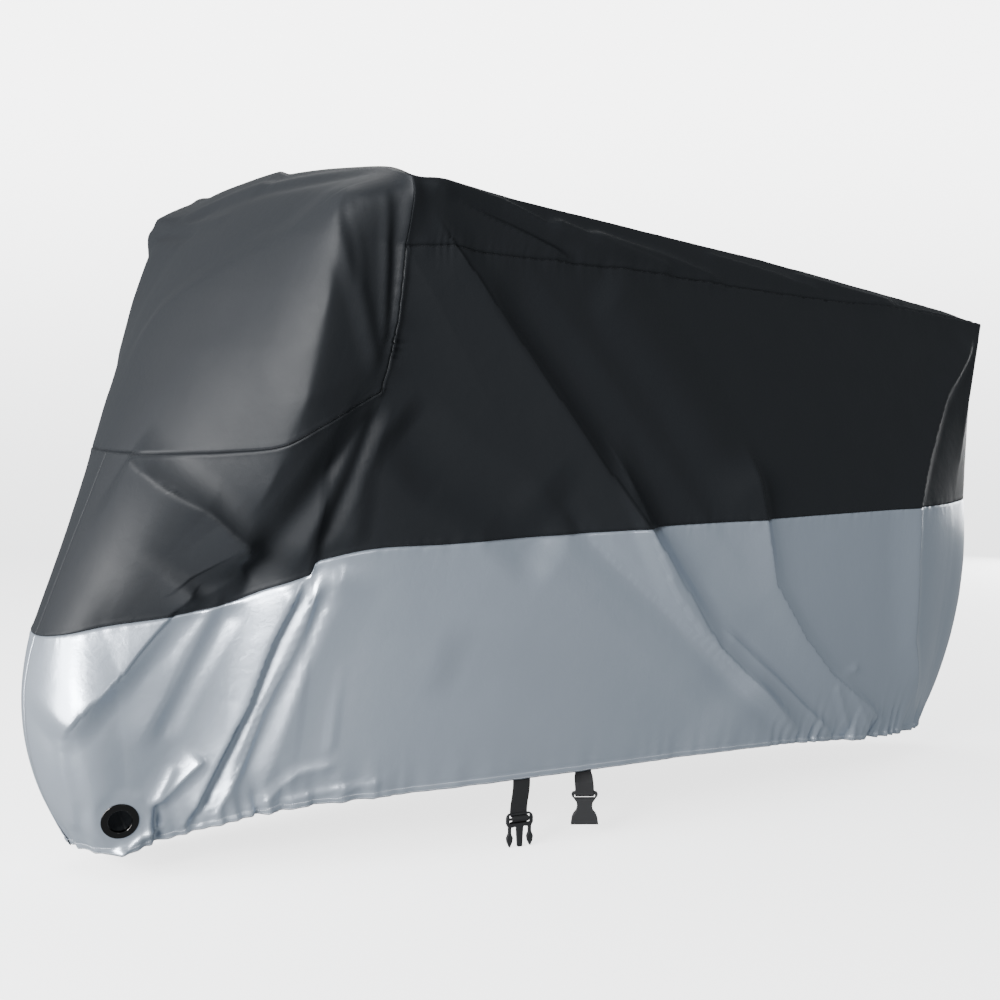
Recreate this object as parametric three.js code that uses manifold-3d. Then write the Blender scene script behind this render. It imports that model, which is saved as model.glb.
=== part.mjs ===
// Motorcycle cover, black above and silver below, in the shape in which it hangs when it is fitted.
// Millimetres, +Z up. The front of the cover points to -X and its left side to -Y.
// Places in the tables are measured from the ground: x backwards from a line that lies 276 mm behind
// the nose, y outwards from the middle plane, z up. The last lines of the file move the whole cover so
// that its origin is the point under the top on which it rests.
import * as THREE from 'three';
import Module from 'manifold-3d';
import { mergeVertices } from 'three/addons/utils/BufferGeometryUtils.js';

const wasm = await Module();
wasm.setup();

// Driving dimensions
const clothThickness = 2.2;
const pieceGap = 0.3;
const restPlace = { x: 900, z: 1145.3 };
const crestX = 235;
const eyelet = { holeRadius: 21.5, rimRadius: 34, rimThickness: 2.4, tubeWall: 1.2, clothRadius: 24 };
const webbing = { width: 37, thickness: 1.5, hemOverlap: 34 };
const plug = { hemX: 577, drop: 60, lean: -7, turn: 0, halfWidth: 28, thickness: 6.4, prongX: 21.3 };
const socket = { hemX: 715, drop: 40, lean: 4, turn: -28, height: 64, thickness: 13, wall: 2.2 };

// Grid cells along each stretch of the outline, and from edge to edge of each panel
const cells = { front: 15, pucker: 6, side: 22, tail: 2, sideRows: 10, skirtRows: 10 };
const stripCells = { slope: 2, half: 5 };
const hoodCells = { above: 3 };

function table(columns, rows) {
  return rows.map((row) => Object.fromEntries(columns.map((column, i) => [column, row[i]])));
}

// Lines that run down the cover from the upper edge of the side panel, over the seam between black
// and silver, to the hem. They go from the front centre round the left side to the tail centre.
const lines = table(
  ['topX', 'topY', 'topZ', 'seamX', 'seamY', 'seamZ', 'hemX', 'hemY', 'hemZ', 'bulge'],
  [
    [-138, 0, 765, -276, 0, 442, -218, 0, 54, 46],
    [-124, 105, 765, -250, 82, 450, -190, 80, 52, 40],
    [-88, 205, 767, -188, 115, 465, -143, 96, 52, 24],
    [-25, 295, 771, -84, 150, 480, -77, 106, 68, 12],
    [32, 368, 782, 13, 203, 503, 6, 132, 90, 2],
    [85, 402, 812, 88, 262, 540, 93, 162, 105, 0],
    [208, 400, 874, 216, 320, 587, 216, 212, 119, 6],
    [226, 418, 985, 383, 336, 595, 487, 268, 129, 12],
    [crestX, 435, 1122, 617, 345, 600, 845, 293, 132, 14],
    [367, 412, 1121, 828, 346, 605, 1179, 284, 126, 14],
    [547, 380, 1112, 969, 342, 607, 1313, 258, 114, 14],
    [807, 330, 1100, 1133, 330, 607, 1443, 230, 99, 14],
    [1098, 266, 1081, 1330, 310, 607, 1578, 190, 84, 14],
    [1400, 196, 1063, 1499, 285, 606, 1696, 150, 73, 16],
    [1725, 126, 1050, 1649, 250, 604, 1779, 110, 67, 20],
    [2062, 45, 1021, 1898, 122, 598, 1853, 52, 57, 28],
    [2062, 0, 1021, 2040, 0, 596, 1896, 0, 44, 56],
  ],
);
const lineAt = { centre: 0, fold: 6, shoulder: 8, corner: 15, tail: 16 };

// Horizontal sections of the hood from the front seam up to the crest. The corner is the upright
// edge between the front face and the side.
const hoodSections = table(
  ['centreX', 'centreZ', 'cornerX', 'cornerY', 'cornerZ'],
  [
    [-138, 765, 32, 368, 782],
    [-98, 860, 42, 396, 862],
    [-55, 950, 56, 408, 950],
    [5, 1050, 82, 411, 1050],
    [75, 1145, 112, 412, 1135],
    [165, 1236, 150, 420, 1200],
    [crestX, 1281, crestX, 400, 1256],
  ],
);

// Left edge of the hood above the shoulder, where it turns over the high point
const peakEdge = table(['y', 'z'], [[435, 1122], [455, 1170], [468, 1212], [459, 1239]]);

// Cross sections of the long strip over the top. The ridge is the taut line that runs from the high
// point to the tail.
const stripSections = table(
  ['x', 'ridgeY', 'ridgeZ', 'middleZ'],
  [
    [235, 459, 1239, 1281],
    [310, 443, 1234, 1262],
    [450, 400, 1219, 1236],
    [880, 300, 1173, 1163],
    [1210, 220, 1139, 1126],
    [1570, 140, 1093, 1083],
    [1905, 66, 1050, 1046],
    [2062, 30, 1021, 1021],
  ],
);

// Main folds. Height is out from the cloth, and a valley is negative. The two widths lie to the left
// and to the right of the path as it is seen from outside, and crisp runs from 1, a crease, to 2.
const foldColumns = ['height', 'left', 'right', 'crisp', 'path'];
const leftFolds = table(foldColumns, [
  [20, 70, 190, 1.1, [[258, -450, 1219], [536, -398, 911], [813, -359, 609], [1013, -345, 357],
    [1296, -263, 122]]],
  [-10, 90, 60, 2, [[440, -400, 1100], [640, -370, 900], [905, -340, 600], [1090, -335, 400]]],
  [9, 90, 90, 2, [[687, -350, 1085], [875, -345, 853], [1095, -335, 608]]],
  [-14, 70, 70, 2, [[239, -400, 828], [362, -370, 733], [489, -350, 661]]],
  [32, 100, 160, 1.1, [[-150, -110, 775], [-117, -163, 731], [-59, -236, 668], [5, -256, 604],
    [35, -243, 562]]],
  [-16, 60, 60, 2, [[-40, -290, 740], [20, -320, 690], [75, -300, 620], [90, -270, 560]]],
  [-22, 60, 60, 1.5, [[211, -398, 868], [128, -360, 740], [60, -270, 607], [22, -208, 500]]],
  [10, 50, 50, 2, [[205, -400, 867], [133, -350, 722], [91, -262, 545]]],
  [-8, 45, 45, 2, [[205, -400, 850], [162, -350, 700], [140, -300, 575]]],
  [8, 45, 55, 2, [[208, -400, 850], [192, -370, 721], [188, -310, 585]]],
  [24, 50, 160, 1.1, [[-84, -155, 486], [-154, -141, 397], [-215, -115, 320], [-268, -86, 252]]],
  [14, 55, 55, 1.6, [[-35, -173, 471], [-94, -152, 349], [-188, -127, 212]]],
  [22, 45, 80, 1.3, [[74, -248, 530], [18, -204, 435], [-35, -167, 318], [-92, -129, 185]]],
  [-14, 60, 60, 1.6, [[113, -275, 537], [62, -205, 342], [20, -150, 150]]],
  [11, 60, 60, 1.6, [[183, -307, 575], [186, -280, 413], [183, -238, 240]]],
  [8, 70, 90, 2, [[663, -345, 585], [850, -345, 470], [1013, -340, 357]]],
  [22, 60, 120, 1.2, [[1105, -331, 604], [1210, -322, 436], [1326, -290, 296], [1495, -237, 174],
    [1600, -192, 133]]],
  [18, 60, 120, 1.2, [[2050, -42, 1005], [1854, -130, 859], [1680, -232, 721], [1655, -250, 577],
    [1674, -231, 394], [1745, -153, 168]]],
]);
const rightFolds = table(foldColumns, [
  [12, 120, 90, 1.4, [[258, 450, 1219], [560, 385, 940], [900, 345, 600], [1260, 280, 180]]],
  [-9, 80, 80, 2, [[420, 400, 1060], [700, 365, 800], [1010, 340, 520]]],
  [10, 70, 60, 1.6, [[205, 400, 850], [140, 340, 680], [95, 262, 520], [20, 165, 260]]],
  [-12, 60, 60, 1.8, [[205, 400, 840], [200, 340, 640], [205, 270, 380], [210, 222, 190]]],
  [11, 60, 60, 1.5, [[-60, 160, 480], [-150, 135, 340], [-235, 100, 210]]],
  [10, 80, 80, 1.8, [[1000, 340, 600], [1180, 320, 420], [1480, 240, 190]]],
  [12, 80, 70, 1.4, [[2050, 42, 1005], [1870, 125, 860], [1680, 235, 700], [1690, 235, 470],
    [1755, 145, 170]]],
]);
const hoodFolds = table(foldColumns, [
  [14, 80, 64, 1.4, [[150, -400, 1235], [129, -394, 1188], [95, -421, 1028], [59, -404, 861],
    [27, -333, 725], [10, -270, 640]]],
  [10, 130, 90, 1.6, [[228, -440, 1243], [105, -250, 1150], [30, -60, 1060], [0, 150, 1000],
    [-10, 300, 930]]],
  [7, 40, 40, 2, [[228, -440, 1236], [170, -200, 1225], [160, 60, 1232], [190, 330, 1235]]],
  [-8, 45, 45, 2, [[215, 440, 1225], [120, 330, 1170], [95, 200, 1165]]],
  [34, 100, 100, 2, [[110, 380, 1150], [160, 440, 1212], [195, 465, 1232], [240, 470, 1240],
    [420, 420, 1225]]],
  [10, 110, 110, 2, [[235, 0, 1281], [235, 180, 1276], [235, 330, 1262], [235, 470, 1240]]],
]);
const stripFolds = table(foldColumns, [
  [9, 55, 45, 1.4, [[265, -445, 1235], [380, -425, 1180], [590, -385, 1125]]],
  [-6, 35, 35, 2, [[300, -435, 1232], [480, -405, 1185], [700, -355, 1125]]],
  [7, 45, 45, 1.6, [[560, -372, 1200], [720, -345, 1160], [930, -305, 1100]]],
  [6, 45, 45, 1.6, [[840, -308, 1176], [980, -285, 1145], [1110, -262, 1100]]],
  [8, 60, 60, 1.6, [[265, 445, 1235], [400, 420, 1175], [620, 370, 1120]]],
  [-14, 160, 160, 2, [[360, 0, 1250], [700, 0, 1190], [1300, 0, 1115]]],
]);
const folds = [...leftFolds, ...rightFolds, ...hoodFolds, ...stripFolds];

const blackCloth = new THREE.MeshStandardMaterial({ color: 0x1c1f22, roughness: 0.5, metalness: 0 });
const silverCloth = new THREE.MeshStandardMaterial({ color: 0x98a1ad, roughness: 0.4, metalness: 0.35 });
const blackMetal = new THREE.MeshStandardMaterial({ color: 0x1a1614, roughness: 0.25, metalness: 0.8 });
const blackWeb = new THREE.MeshStandardMaterial({ color: 0x242426, roughness: 0.85, metalness: 0 });
const blackPlastic = new THREE.MeshStandardMaterial({ color: 0x202023, roughness: 0.55, metalness: 0 });

function clamp(value, low, high) {
  return Math.min(high, Math.max(low, value));
}

function smooth(value) {
  const t = clamp(value, 0, 1);
  return t * t * (3 - 2 * t);
}

// Way out of the cover at a point: straight away from a spine inside it, which is shorter at the top
const spine = { lowFront: -180, highFront: 200, lowZ: 450, highZ: 1000, back: 1850, floor: 60, roof: 900 };

function outward(point) {
  const rise = clamp((point.z - spine.lowZ) / (spine.highZ - spine.lowZ), 0, 1);
  const front = spine.lowFront + (spine.highFront - spine.lowFront) * rise;
  const inside = new THREE.Vector3(
    clamp(point.x, front, spine.back), 0, clamp(point.z, spine.floor, spine.roof),
  );
  return point.clone().sub(inside).normalize();
}

// Share of a fold's length over which it rises at each end
const foldRise = 0.16;

// Height of one fold at a point of the cloth
function foldHeight(fold, point, out) {
  const path = fold.path;
  let best = null;
  let before = 0;
  let length = 0;
  for (let i = 0; i + 1 < path.length; i += 1) {
    const from = new THREE.Vector3(...path[i]);
    const along = new THREE.Vector3(...path[i + 1]).sub(from);
    const run = along.length();
    const away = point.clone().sub(from);
    const t = clamp(away.dot(along) / (run * run), 0, 1);
    const miss = away.clone().addScaledVector(along, -t);
    if (!best || miss.length() < best.distance) {
      const leftward = new THREE.Vector3().crossVectors(out, along).dot(miss) > 0;
      best = { distance: miss.length(), leftward, place: before + t * run };
    }
    before += run;
    length = before;
  }
  const width = best.leftward ? fold.left : fold.right;
  const across = best.distance / width;
  if (across >= 1) return 0;
  const endRun = foldRise * length;
  const ends = smooth(best.place / endRun) * smooth((length - best.place) / endRun);
  return fold.height * ends * (1 - across ** fold.crisp) ** 2;
}

function draped(point) {
  const out = outward(point);
  const height = folds.reduce((sum, fold) => sum + foldHeight(fold, point, out), 0);
  return point.clone().addScaledVector(out, height);
}

// Smooth curves through the table's points, for the left side
function leftPoint(line, edge) {
  return new THREE.Vector3(line[`${edge}X`], -line[`${edge}Y`], line[`${edge}Z`]);
}

function mirrored(point) {
  return new THREE.Vector3(point.x, -point.y, point.z);
}

function openCurve(points) {
  return new THREE.CatmullRomCurve3(points, false, 'centripetal');
}

function closedRail(edge) {
  const left = lines.map((line) => leftPoint(line, edge));
  const right = left.slice(1, -1).reverse().map(mirrored);
  const curve = new THREE.CatmullRomCurve3([...left, ...right], true, 'centripetal');
  return (u) => curve.getPoint(u / (left.length + right.length));
}

const seamRail = closedRail('seam');
const hemRail = closedRail('hem');
const topPoints = lines.map((line) => leftPoint(line, 'top'));
const frontCurve = openCurve([
  ...topPoints.slice(1, lineAt.fold + 1).reverse().map(mirrored),
  ...topPoints.slice(0, lineAt.fold + 1),
]);
const puckerCurve = openCurve(topPoints.slice(lineAt.fold, lineAt.shoulder + 1));
const sideCurve = openCurve(topPoints.slice(lineAt.shoulder, lineAt.corner + 1));

// Upper edge of the side panel: front seam, puckered seam, long top seam, tail
function topRail(u) {
  if (u <= lineAt.fold) return frontCurve.getPoint(0.5 + (0.5 * u) / lineAt.fold);
  if (u <= lineAt.shoulder) {
    return puckerCurve.getPoint((u - lineAt.fold) / (lineAt.shoulder - lineAt.fold));
  }
  if (u <= lineAt.corner) {
    return sideCurve.getPoint((u - lineAt.shoulder) / (lineAt.corner - lineAt.shoulder));
  }
  return topPoints[lineAt.corner].clone().lerp(topPoints[lineAt.tail], u - lineAt.corner);
}

function bulgeAt(u) {
  const i = Math.min(Math.floor(u), lineAt.tail - 1);
  return THREE.MathUtils.lerp(lines[i].bulge, lines[i + 1].bulge, u - i);
}

// Left side wall without folds: v is 0 at the upper edge, 1 at the seam between black and silver, and
// 2 at the hem
function smoothWall(u, v) {
  if (v <= 1) return topRail(u).lerp(seamRail(u), v);
  const w = v - 1;
  const point = seamRail(u).lerp(hemRail(u), w);
  const level = outward(point).setZ(0).normalize();
  return point.addScaledVector(level, bulgeAt(u) * 4 * w * (1 - w));
}

function wallPoint(u, v) {
  return draped(smoothWall(u, v));
}

// Folds of the two sides differ, so a right-hand point is mirrored before the folds are added. The
// right hem also hangs lower than the left one beside the eyelet.
const rightSag = { u: 3, reach: 3, drop: 34 };

function rightWallPoint(u, v) {
  const point = mirrored(smoothWall(u, v));
  const share = smooth(1 - Math.abs(u - rightSag.u) / rightSag.reach);
  point.z -= rightSag.drop * share * Math.max(v - 1, 0) ** 2;
  return draped(point);
}

function wallOn(side) {
  return side === 'left' ? wallPoint : rightWallPoint;
}

// Places along the outline where the grid lines of all panels meet
function spread(from, to, count) {
  return Array.from({ length: count }, (_, i) => from + ((to - from) * i) / count);
}
const outline = [
  ...spread(lineAt.centre, lineAt.fold, cells.front),
  ...spread(lineAt.fold, lineAt.shoulder, cells.pucker),
  ...spread(lineAt.shoulder, lineAt.corner, cells.side),
  ...spread(lineAt.corner, lineAt.tail, cells.tail),
  lineAt.tail,
];

function geometryFrom(points, faces) {
  const geometry = new THREE.BufferGeometry();
  geometry.setAttribute('position', new THREE.Float32BufferAttribute(points.flatMap((p) => p.toArray()), 3));
  geometry.setIndex(faces.flat());
  return geometry;
}

function signedVolume(points, faces) {
  return faces.reduce((sum, [a, b, c]) => {
    const side = new THREE.Vector3().crossVectors(points[b], points[c]);
    return sum + points[a].dot(side) / 6;
  }, 0);
}

// Closed sheet of cloth from its outer points and triangles. Its inner face lies one thickness in,
// and a wall closes each open edge.
function sheet(outer, triangles, inwardAt) {
  const inner = outer.map((point, i) => point.clone().addScaledVector(inwardAt(point, i), clothThickness));
  const points = [...outer, ...inner];
  const count = outer.length;
  const faces = [];
  const edges = new Map();
  triangles.forEach(([a, b, c]) => {
    faces.push([a, b, c], [c + count, b + count, a + count]);
    [[a, b], [b, c], [c, a]].forEach(([from, to]) => {
      const twin = `${to},${from}`;
      if (edges.has(twin)) edges.delete(twin);
      else edges.set(`${from},${to}`, [from, to]);
    });
  });
  edges.forEach(([from, to]) => {
    faces.push([to, from, from + count], [to, from + count, to + count]);
  });
  const turned = signedVolume(points, faces) < 0;
  return geometryFrom(points, turned ? faces.map(([a, b, c]) => [a, c, b]) : faces);
}

function inward(point) {
  return outward(point).negate();
}

// How far the edge of a panel and of the eyelet's strip is drawn in, to leave the gap to the next one
const panelInset = 0.55 * pieceGap;
const eyeletStripInset = 0.7 * pieceGap;

// Points of the used cells of a grid, drawn in at the open edges
function gridSheet(columns, rows, pointAt, isUsed = () => true) {
  const points = [];
  const index = new Map();
  const touching = [];
  const quads = [];
  const corner = (i, j) => {
    const key = `${i},${j}`;
    if (!index.has(key)) {
      index.set(key, points.length);
      points.push(pointAt(i, j));
      touching.push([]);
    }
    return index.get(key);
  };
  for (let i = 0; i < columns; i += 1) {
    for (let j = 0; j < rows; j += 1) {
      if (isUsed(i, j)) quads.push([corner(i, j), corner(i + 1, j), corner(i + 1, j + 1), corner(i, j + 1)]);
    }
  }
  quads.forEach((quad) => {
    const middle = quad.reduce((sum, k) => sum.add(points[k]), new THREE.Vector3()).multiplyScalar(0.25);
    quad.forEach((k) => touching[k].push(middle));
  });
  const drawnIn = points.map((point, k) => {
    if (touching[k].length === 4) return point;
    const pull = touching[k].reduce((sum, middle) => sum.add(middle), new THREE.Vector3());
    pull.multiplyScalar(1 / touching[k].length).sub(point).normalize();
    return point.clone().addScaledVector(pull, panelInset);
  });
  const triangles = quads.flatMap(([a, b, c, d]) => {
    const short = drawnIn[a].distanceTo(drawnIn[c]) <= drawnIn[b].distanceTo(drawnIn[d]);
    return short ? [[a, b, c], [a, c, d]] : [[a, b, d], [b, c, d]];
  });
  return sheet(drawnIn, triangles, inward);
}

// Upper side panel
function sidePanel(side) {
  const wall = wallOn(side);
  return gridSheet(outline.length - 1, cells.sideRows, (i, j) => wall(outline[i], j / cells.sideRows));
}

// Block of the skirt that holds the lock eyelet, in grid lines
const eyeletBlock = { left: 2, right: 7, top: 7, bottom: 10 };
const eyeletPlace = { u: 1.72, v: 1.845 };

function skirtRow(j) {
  return 1 + j / cells.skirtRows;
}

function skirtPanel(side) {
  const wall = wallOn(side);
  const isSkirt = (i, j) => i < eyeletBlock.left || i >= eyeletBlock.right || j < eyeletBlock.top;
  return gridSheet(outline.length - 1, cells.skirtRows, (i, j) => wall(outline[i], skirtRow(j)), isSkirt);
}

// Grid points round the eyelet block, with a point halfway along each cell edge
function blockRim(side) {
  const { left, right, top, bottom } = eyeletBlock;
  const wall = wallOn(side);
  const corners = [];
  for (let i = left; i < right; i += 1) corners.push([i, top]);
  for (let j = top; j < bottom; j += 1) corners.push([right, j]);
  for (let i = right; i > left; i -= 1) corners.push([i, bottom]);
  for (let j = bottom; j > top; j -= 1) corners.push([left, j]);
  const points = corners.map(([i, j]) => wall(outline[i], skirtRow(j)));
  return points.flatMap((point, k) => [point, point.clone().lerp(points[(k + 1) % points.length], 0.5)]);
}

// Flat seat of the eyelet: centre, normal that points out, and two directions in its plane
function eyeletSeat(side) {
  const wall = wallOn(side);
  const { left, right, top, bottom } = eyeletBlock;
  const centre = wall(eyeletPlace.u, eyeletPlace.v);
  const oneWay = wall(outline[right], skirtRow(bottom)).sub(wall(outline[left], skirtRow(top)));
  const otherWay = wall(outline[left], skirtRow(bottom)).sub(wall(outline[right], skirtRow(top)));
  const normal = new THREE.Vector3().crossVectors(oneWay, otherWay).normalize();
  if (normal.dot(outward(centre)) < 0) normal.negate();
  const across = new THREE.Vector3().crossVectors(new THREE.Vector3(0, 0, 1), normal).normalize();
  return { centre, normal, across, up: new THREE.Vector3().crossVectors(normal, across) };
}

// Eyelet strip: rings of points from the rim of the block to the hole
function eyeletStrip(side) {
  const seat = eyeletSeat(side);
  const rim = blockRim(side);
  const drawnIn = rim.map((point) => {
    const pull = seat.centre.clone().sub(point).normalize();
    return point.clone().addScaledVector(pull, eyeletStripInset);
  });
  const circle = (radius) => rim.map((point) => {
    const away = point.clone().sub(seat.centre);
    const angle = Math.atan2(away.dot(seat.up), away.dot(seat.across));
    return seat.centre.clone()
      .addScaledVector(seat.across, radius * Math.cos(angle))
      .addScaledVector(seat.up, radius * Math.sin(angle));
  });
  const rings = [drawnIn, circle(eyelet.rimRadius + 3), circle(eyelet.clothRadius)];
  const count = rim.length;
  const triangles = [];
  for (let r = 0; r + 1 < rings.length; r += 1) {
    for (let k = 0; k < count; k += 1) {
      const next = (k + 1) % count;
      const a = r * count + k;
      const b = r * count + next;
      triangles.push([a, b, b + count], [a, b + count, a + count]);
    }
  }
  const flatInward = seat.normal.clone().negate();
  return sheet(rings.flat(), triangles, (point, i) => (i < count ? inward(point) : flatInward));
}

// Two-part metal eyelet as one turned ring that grips the cloth from both faces
function eyeletRing(side) {
  const { holeRadius, rimRadius, rimThickness, tubeWall } = eyelet;
  const front = pieceGap;
  const back = -clothThickness - pieceGap;
  const edge = 0.9;
  const profile = [
    [holeRadius, back - rimThickness + edge], [holeRadius, front + rimThickness - edge],
    [holeRadius + edge, front + rimThickness], [rimRadius - edge, front + rimThickness],
    [rimRadius, front + rimThickness - edge], [rimRadius, front],
    [holeRadius + tubeWall, front], [holeRadius + tubeWall, back],
    [rimRadius - 2, back], [rimRadius - 2, back - rimThickness + edge],
    [rimRadius - 2 - edge, back - rimThickness], [holeRadius + edge, back - rimThickness],
    [holeRadius, back - rimThickness + edge],
  ];
  const ring = new THREE.LatheGeometry(profile.map(([r, z]) => new THREE.Vector2(r, z)), 32);
  const seat = eyeletSeat(side);
  const place = new THREE.Matrix4().makeBasis(
    seat.across, seat.normal, new THREE.Vector3().crossVectors(seat.across, seat.normal),
  ).setPosition(seat.centre);
  return closed(ring.applyMatrix4(place));
}

// Merges shared vertices and turns the faces outwards where a shape came out inside out
function closed(geometry) {
  geometry.deleteAttribute('normal');
  geometry.deleteAttribute('uv');
  const merged = mergeVertices(geometry, 1e-3);
  const points = [];
  for (let i = 0; i < merged.attributes.position.count; i += 1) {
    points.push(new THREE.Vector3().fromBufferAttribute(merged.attributes.position, i));
  }
  const corners = Array.from(merged.index.array);
  const faces = [];
  for (let i = 0; i < corners.length; i += 3) {
    const [a, b, c] = corners.slice(i, i + 3);
    if (a !== b && b !== c && c !== a) faces.push([a, b, c]);
  }
  const turned = signedVolume(points, faces) < 0;
  return geometryFrom(points, turned ? faces.map(([a, b, c]) => [a, c, b]) : faces);
}

// Hood: sections from the front seam to the crest, fitted to the seams at its lower and side edges
const hoodRows = cells.pucker + hoodCells.above;
const peakCurve = openCurve(peakEdge.map(({ y, z }) => new THREE.Vector3(crestX, -y, z)));
const hoodCurves = ['centreX', 'centreZ', 'cornerX', 'cornerY', 'cornerZ'];
const hoodCurveShare = 0.27;

function hoodEdge(row) {
  if (row <= cells.pucker) {
    return topRail(lineAt.fold + ((lineAt.shoulder - lineAt.fold) * row) / cells.pucker);
  }
  return peakCurve.getPoint((row - cells.pucker) / hoodCells.above);
}

// Value of a table column at a fraction of the table's length, smooth between its rows
function columnAt(rows, column, fraction) {
  const values = rows.map((row, i) => new THREE.Vector3(i, row[column], 0));
  return openCurve(values).getPoint(fraction).y;
}

function hoodSection(row) {
  const size = Object.fromEntries(
    hoodCurves.map((column) => [column, columnAt(hoodSections, column, row / hoodRows)]),
  );
  const corner = new THREE.Vector3(size.cornerX, -size.cornerY, size.cornerZ);
  const centre = new THREE.Vector3(size.centreX, 0, size.centreZ);
  const between = new THREE.Vector3(
    THREE.MathUtils.lerp(size.centreX, size.cornerX, hoodCurveShare),
    -size.cornerY / 2,
    THREE.MathUtils.lerp(size.centreZ, size.cornerZ, hoodCurveShare),
  );
  const left = [between, corner, hoodEdge(row)];
  return openCurve([...left.slice().reverse().map(mirrored), centre, ...left]);
}
const sections = Array.from({ length: hoodRows + 1 }, (_, row) => hoodSection(row));

// Column runs from the right edge over the centre to the left edge
function hoodPoint(column, row) {
  const u = outline[Math.abs(column - cells.front)];
  const isLeft = column >= cells.front;
  const place = 0.5 + (0.5 * u) / lineAt.fold;
  const section = sections[row].getPoint(place);
  const miss = topRail(u).sub(sections[0].getPoint(place));
  const fade = (1 - row / hoodRows) ** 2;
  const point = section.addScaledVector(miss, fade);
  return draped(isLeft ? point : mirrored(point));
}

function hood() {
  return gridSheet(2 * cells.front, hoodRows, hoodPoint);
}

// Long strip over the top. Its slopes beside the ridges swell by a share of their width.
const slopeSwell = 0.04;

function stripValue(column, x) {
  let i = 0;
  while (i + 2 < stripSections.length && x > stripSections[i + 1].x) i += 1;
  const from = stripSections[i];
  const to = stripSections[i + 1];
  return THREE.MathUtils.lerp(from[column], to[column], clamp((x - from.x) / (to.x - from.x), 0, 1));
}

// Front edge of the strip, on the same curves as the upper edge of the hood
function stripFront(column) {
  const { slope, half } = stripCells;
  const step = column <= slope + half ? column : 2 * (slope + half) - column;
  const crest = sections[hoodRows];
  const point = step <= slope
    ? peakCurve.getPoint(step / slope)
    : crest.getPoint(1 - (0.5 * (step - slope)) / half);
  return draped(column <= slope + half ? point : mirrored(point));
}

function stripPoint(row, column) {
  if (row === 0) return stripFront(column);
  const seam = topRail(outline[cells.front + cells.pucker + row]);
  const ridge = new THREE.Vector3(seam.x, -stripValue('ridgeY', seam.x), stripValue('ridgeZ', seam.x));
  const { slope, half } = stripCells;
  const step = column <= slope + half ? column : 2 * (slope + half) - column;
  let point;
  if (step <= slope) {
    const t = step / slope;
    const puff = slopeSwell * seam.distanceTo(ridge) * 4 * t * (1 - t);
    point = seam.clone().lerp(ridge, t);
    point.addScaledVector(outward(point), puff);
  } else {
    const t = (step - slope) / half;
    const middleZ = stripValue('middleZ', seam.x);
    const rise = 1 - (1 - t) ** 2;
    point = new THREE.Vector3(seam.x, ridge.y * (1 - t), THREE.MathUtils.lerp(ridge.z, middleZ, rise));
  }
  return draped(column <= slope + half ? point : mirrored(point));
}

function strip() {
  return gridSheet(cells.side, 2 * (stripCells.slope + stripCells.half), stripPoint);
}

// Inner face of the left skirt near the hem, read on its flat facets
function skirtInside(u, v) {
  const i = outline.findIndex((place) => place > u) - 1;
  const t = (u - outline[i]) / (outline[i + 1] - outline[i]);
  const point = wallPoint(outline[i], v).lerp(wallPoint(outline[i + 1], v), t);
  return point.addScaledVector(outward(point), -clothThickness);
}

function outlinePlaceAtHem(x) {
  let low = lineAt.fold;
  let high = lineAt.corner;
  for (let step = 0; step < 40; step += 1) {
    const middle = (low + high) / 2;
    if (wallPoint(middle, 2).x < x) low = middle;
    else high = middle;
  }
  return low;
}

// Flat webbing that follows a path. Each point of the path gives the way across the webbing.
function webbingAlong(path) {
  const half = webbing.width / 2;
  const points = [];
  path.forEach(({ centre, across }, i) => {
    const before = path[Math.max(i - 1, 0)].centre;
    const after = path[Math.min(i + 1, path.length - 1)].centre;
    const into = centre.clone().sub(before).normalize();
    const outOf = after.clone().sub(centre).normalize();
    const run = into.clone().add(outOf).normalize();
    const face = new THREE.Vector3().crossVectors(run, across).normalize();
    const bend = into.lengthSq() && outOf.lengthSq() ? Math.sqrt((1 + into.dot(outOf)) / 2) : 1;
    const reach = webbing.thickness / 2 / Math.max(bend, 0.7);
    [[1, 1], [-1, 1], [-1, -1], [1, -1]].forEach(([sideways, out]) => {
      points.push(centre.clone().addScaledVector(across, half * sideways).addScaledVector(face, reach * out));
    });
  });
  const faces = [[0, 1, 2], [0, 2, 3]];
  for (let i = 0; i + 1 < path.length; i += 1) {
    for (let k = 0; k < 4; k += 1) {
      const a = 4 * i + k;
      const b = 4 * i + ((k + 1) % 4);
      faces.push([a, a + 4, b + 4], [a, b + 4, b]);
    }
  }
  const end = 4 * (path.length - 1);
  faces.push([end, end + 2, end + 1], [end, end + 3, end + 2]);
  const turned = signedVolume(points, faces) < 0;
  return geometryFrom(points, turned ? faces.map(([a, b, c]) => [a, c, b]) : faces);
}

// Where a strap leaves the hem: a frame with the way across it, the way out and the way down
function strapFrame(hemX) {
  const u = outlinePlaceAtHem(hemX);
  const across = skirtInside(u + 0.02, 2).sub(skirtInside(u - 0.02, 2)).setZ(0).normalize();
  const out = new THREE.Vector3().crossVectors(across, new THREE.Vector3(0, 0, 1)).normalize();
  return { u, across, out };
}

// Points of the strap behind the skirt, from its sewn end down to just below the hem
function sewnEnd(frame) {
  const clear = 0.9 + webbing.thickness / 2;
  const skirtHeight = wallPoint(frame.u, 1).z - wallPoint(frame.u, 2).z;
  const rows = [1, 0.5, 0.04].map((share) => {
    const v = 2 - (share * webbing.hemOverlap) / skirtHeight;
    return skirtInside(frame.u, v).addScaledVector(frame.out, -clear);
  });
  const belowHem = rows[rows.length - 1].clone().add(new THREE.Vector3(0, 0, -5));
  return [...rows, belowHem].map((centre) => ({ centre, across: frame.across }));
}

function turnedAcross(frame, degrees) {
  return frame.across.clone().applyAxisAngle(new THREE.Vector3(0, 0, 1), THREE.MathUtils.degToRad(degrees));
}

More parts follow.
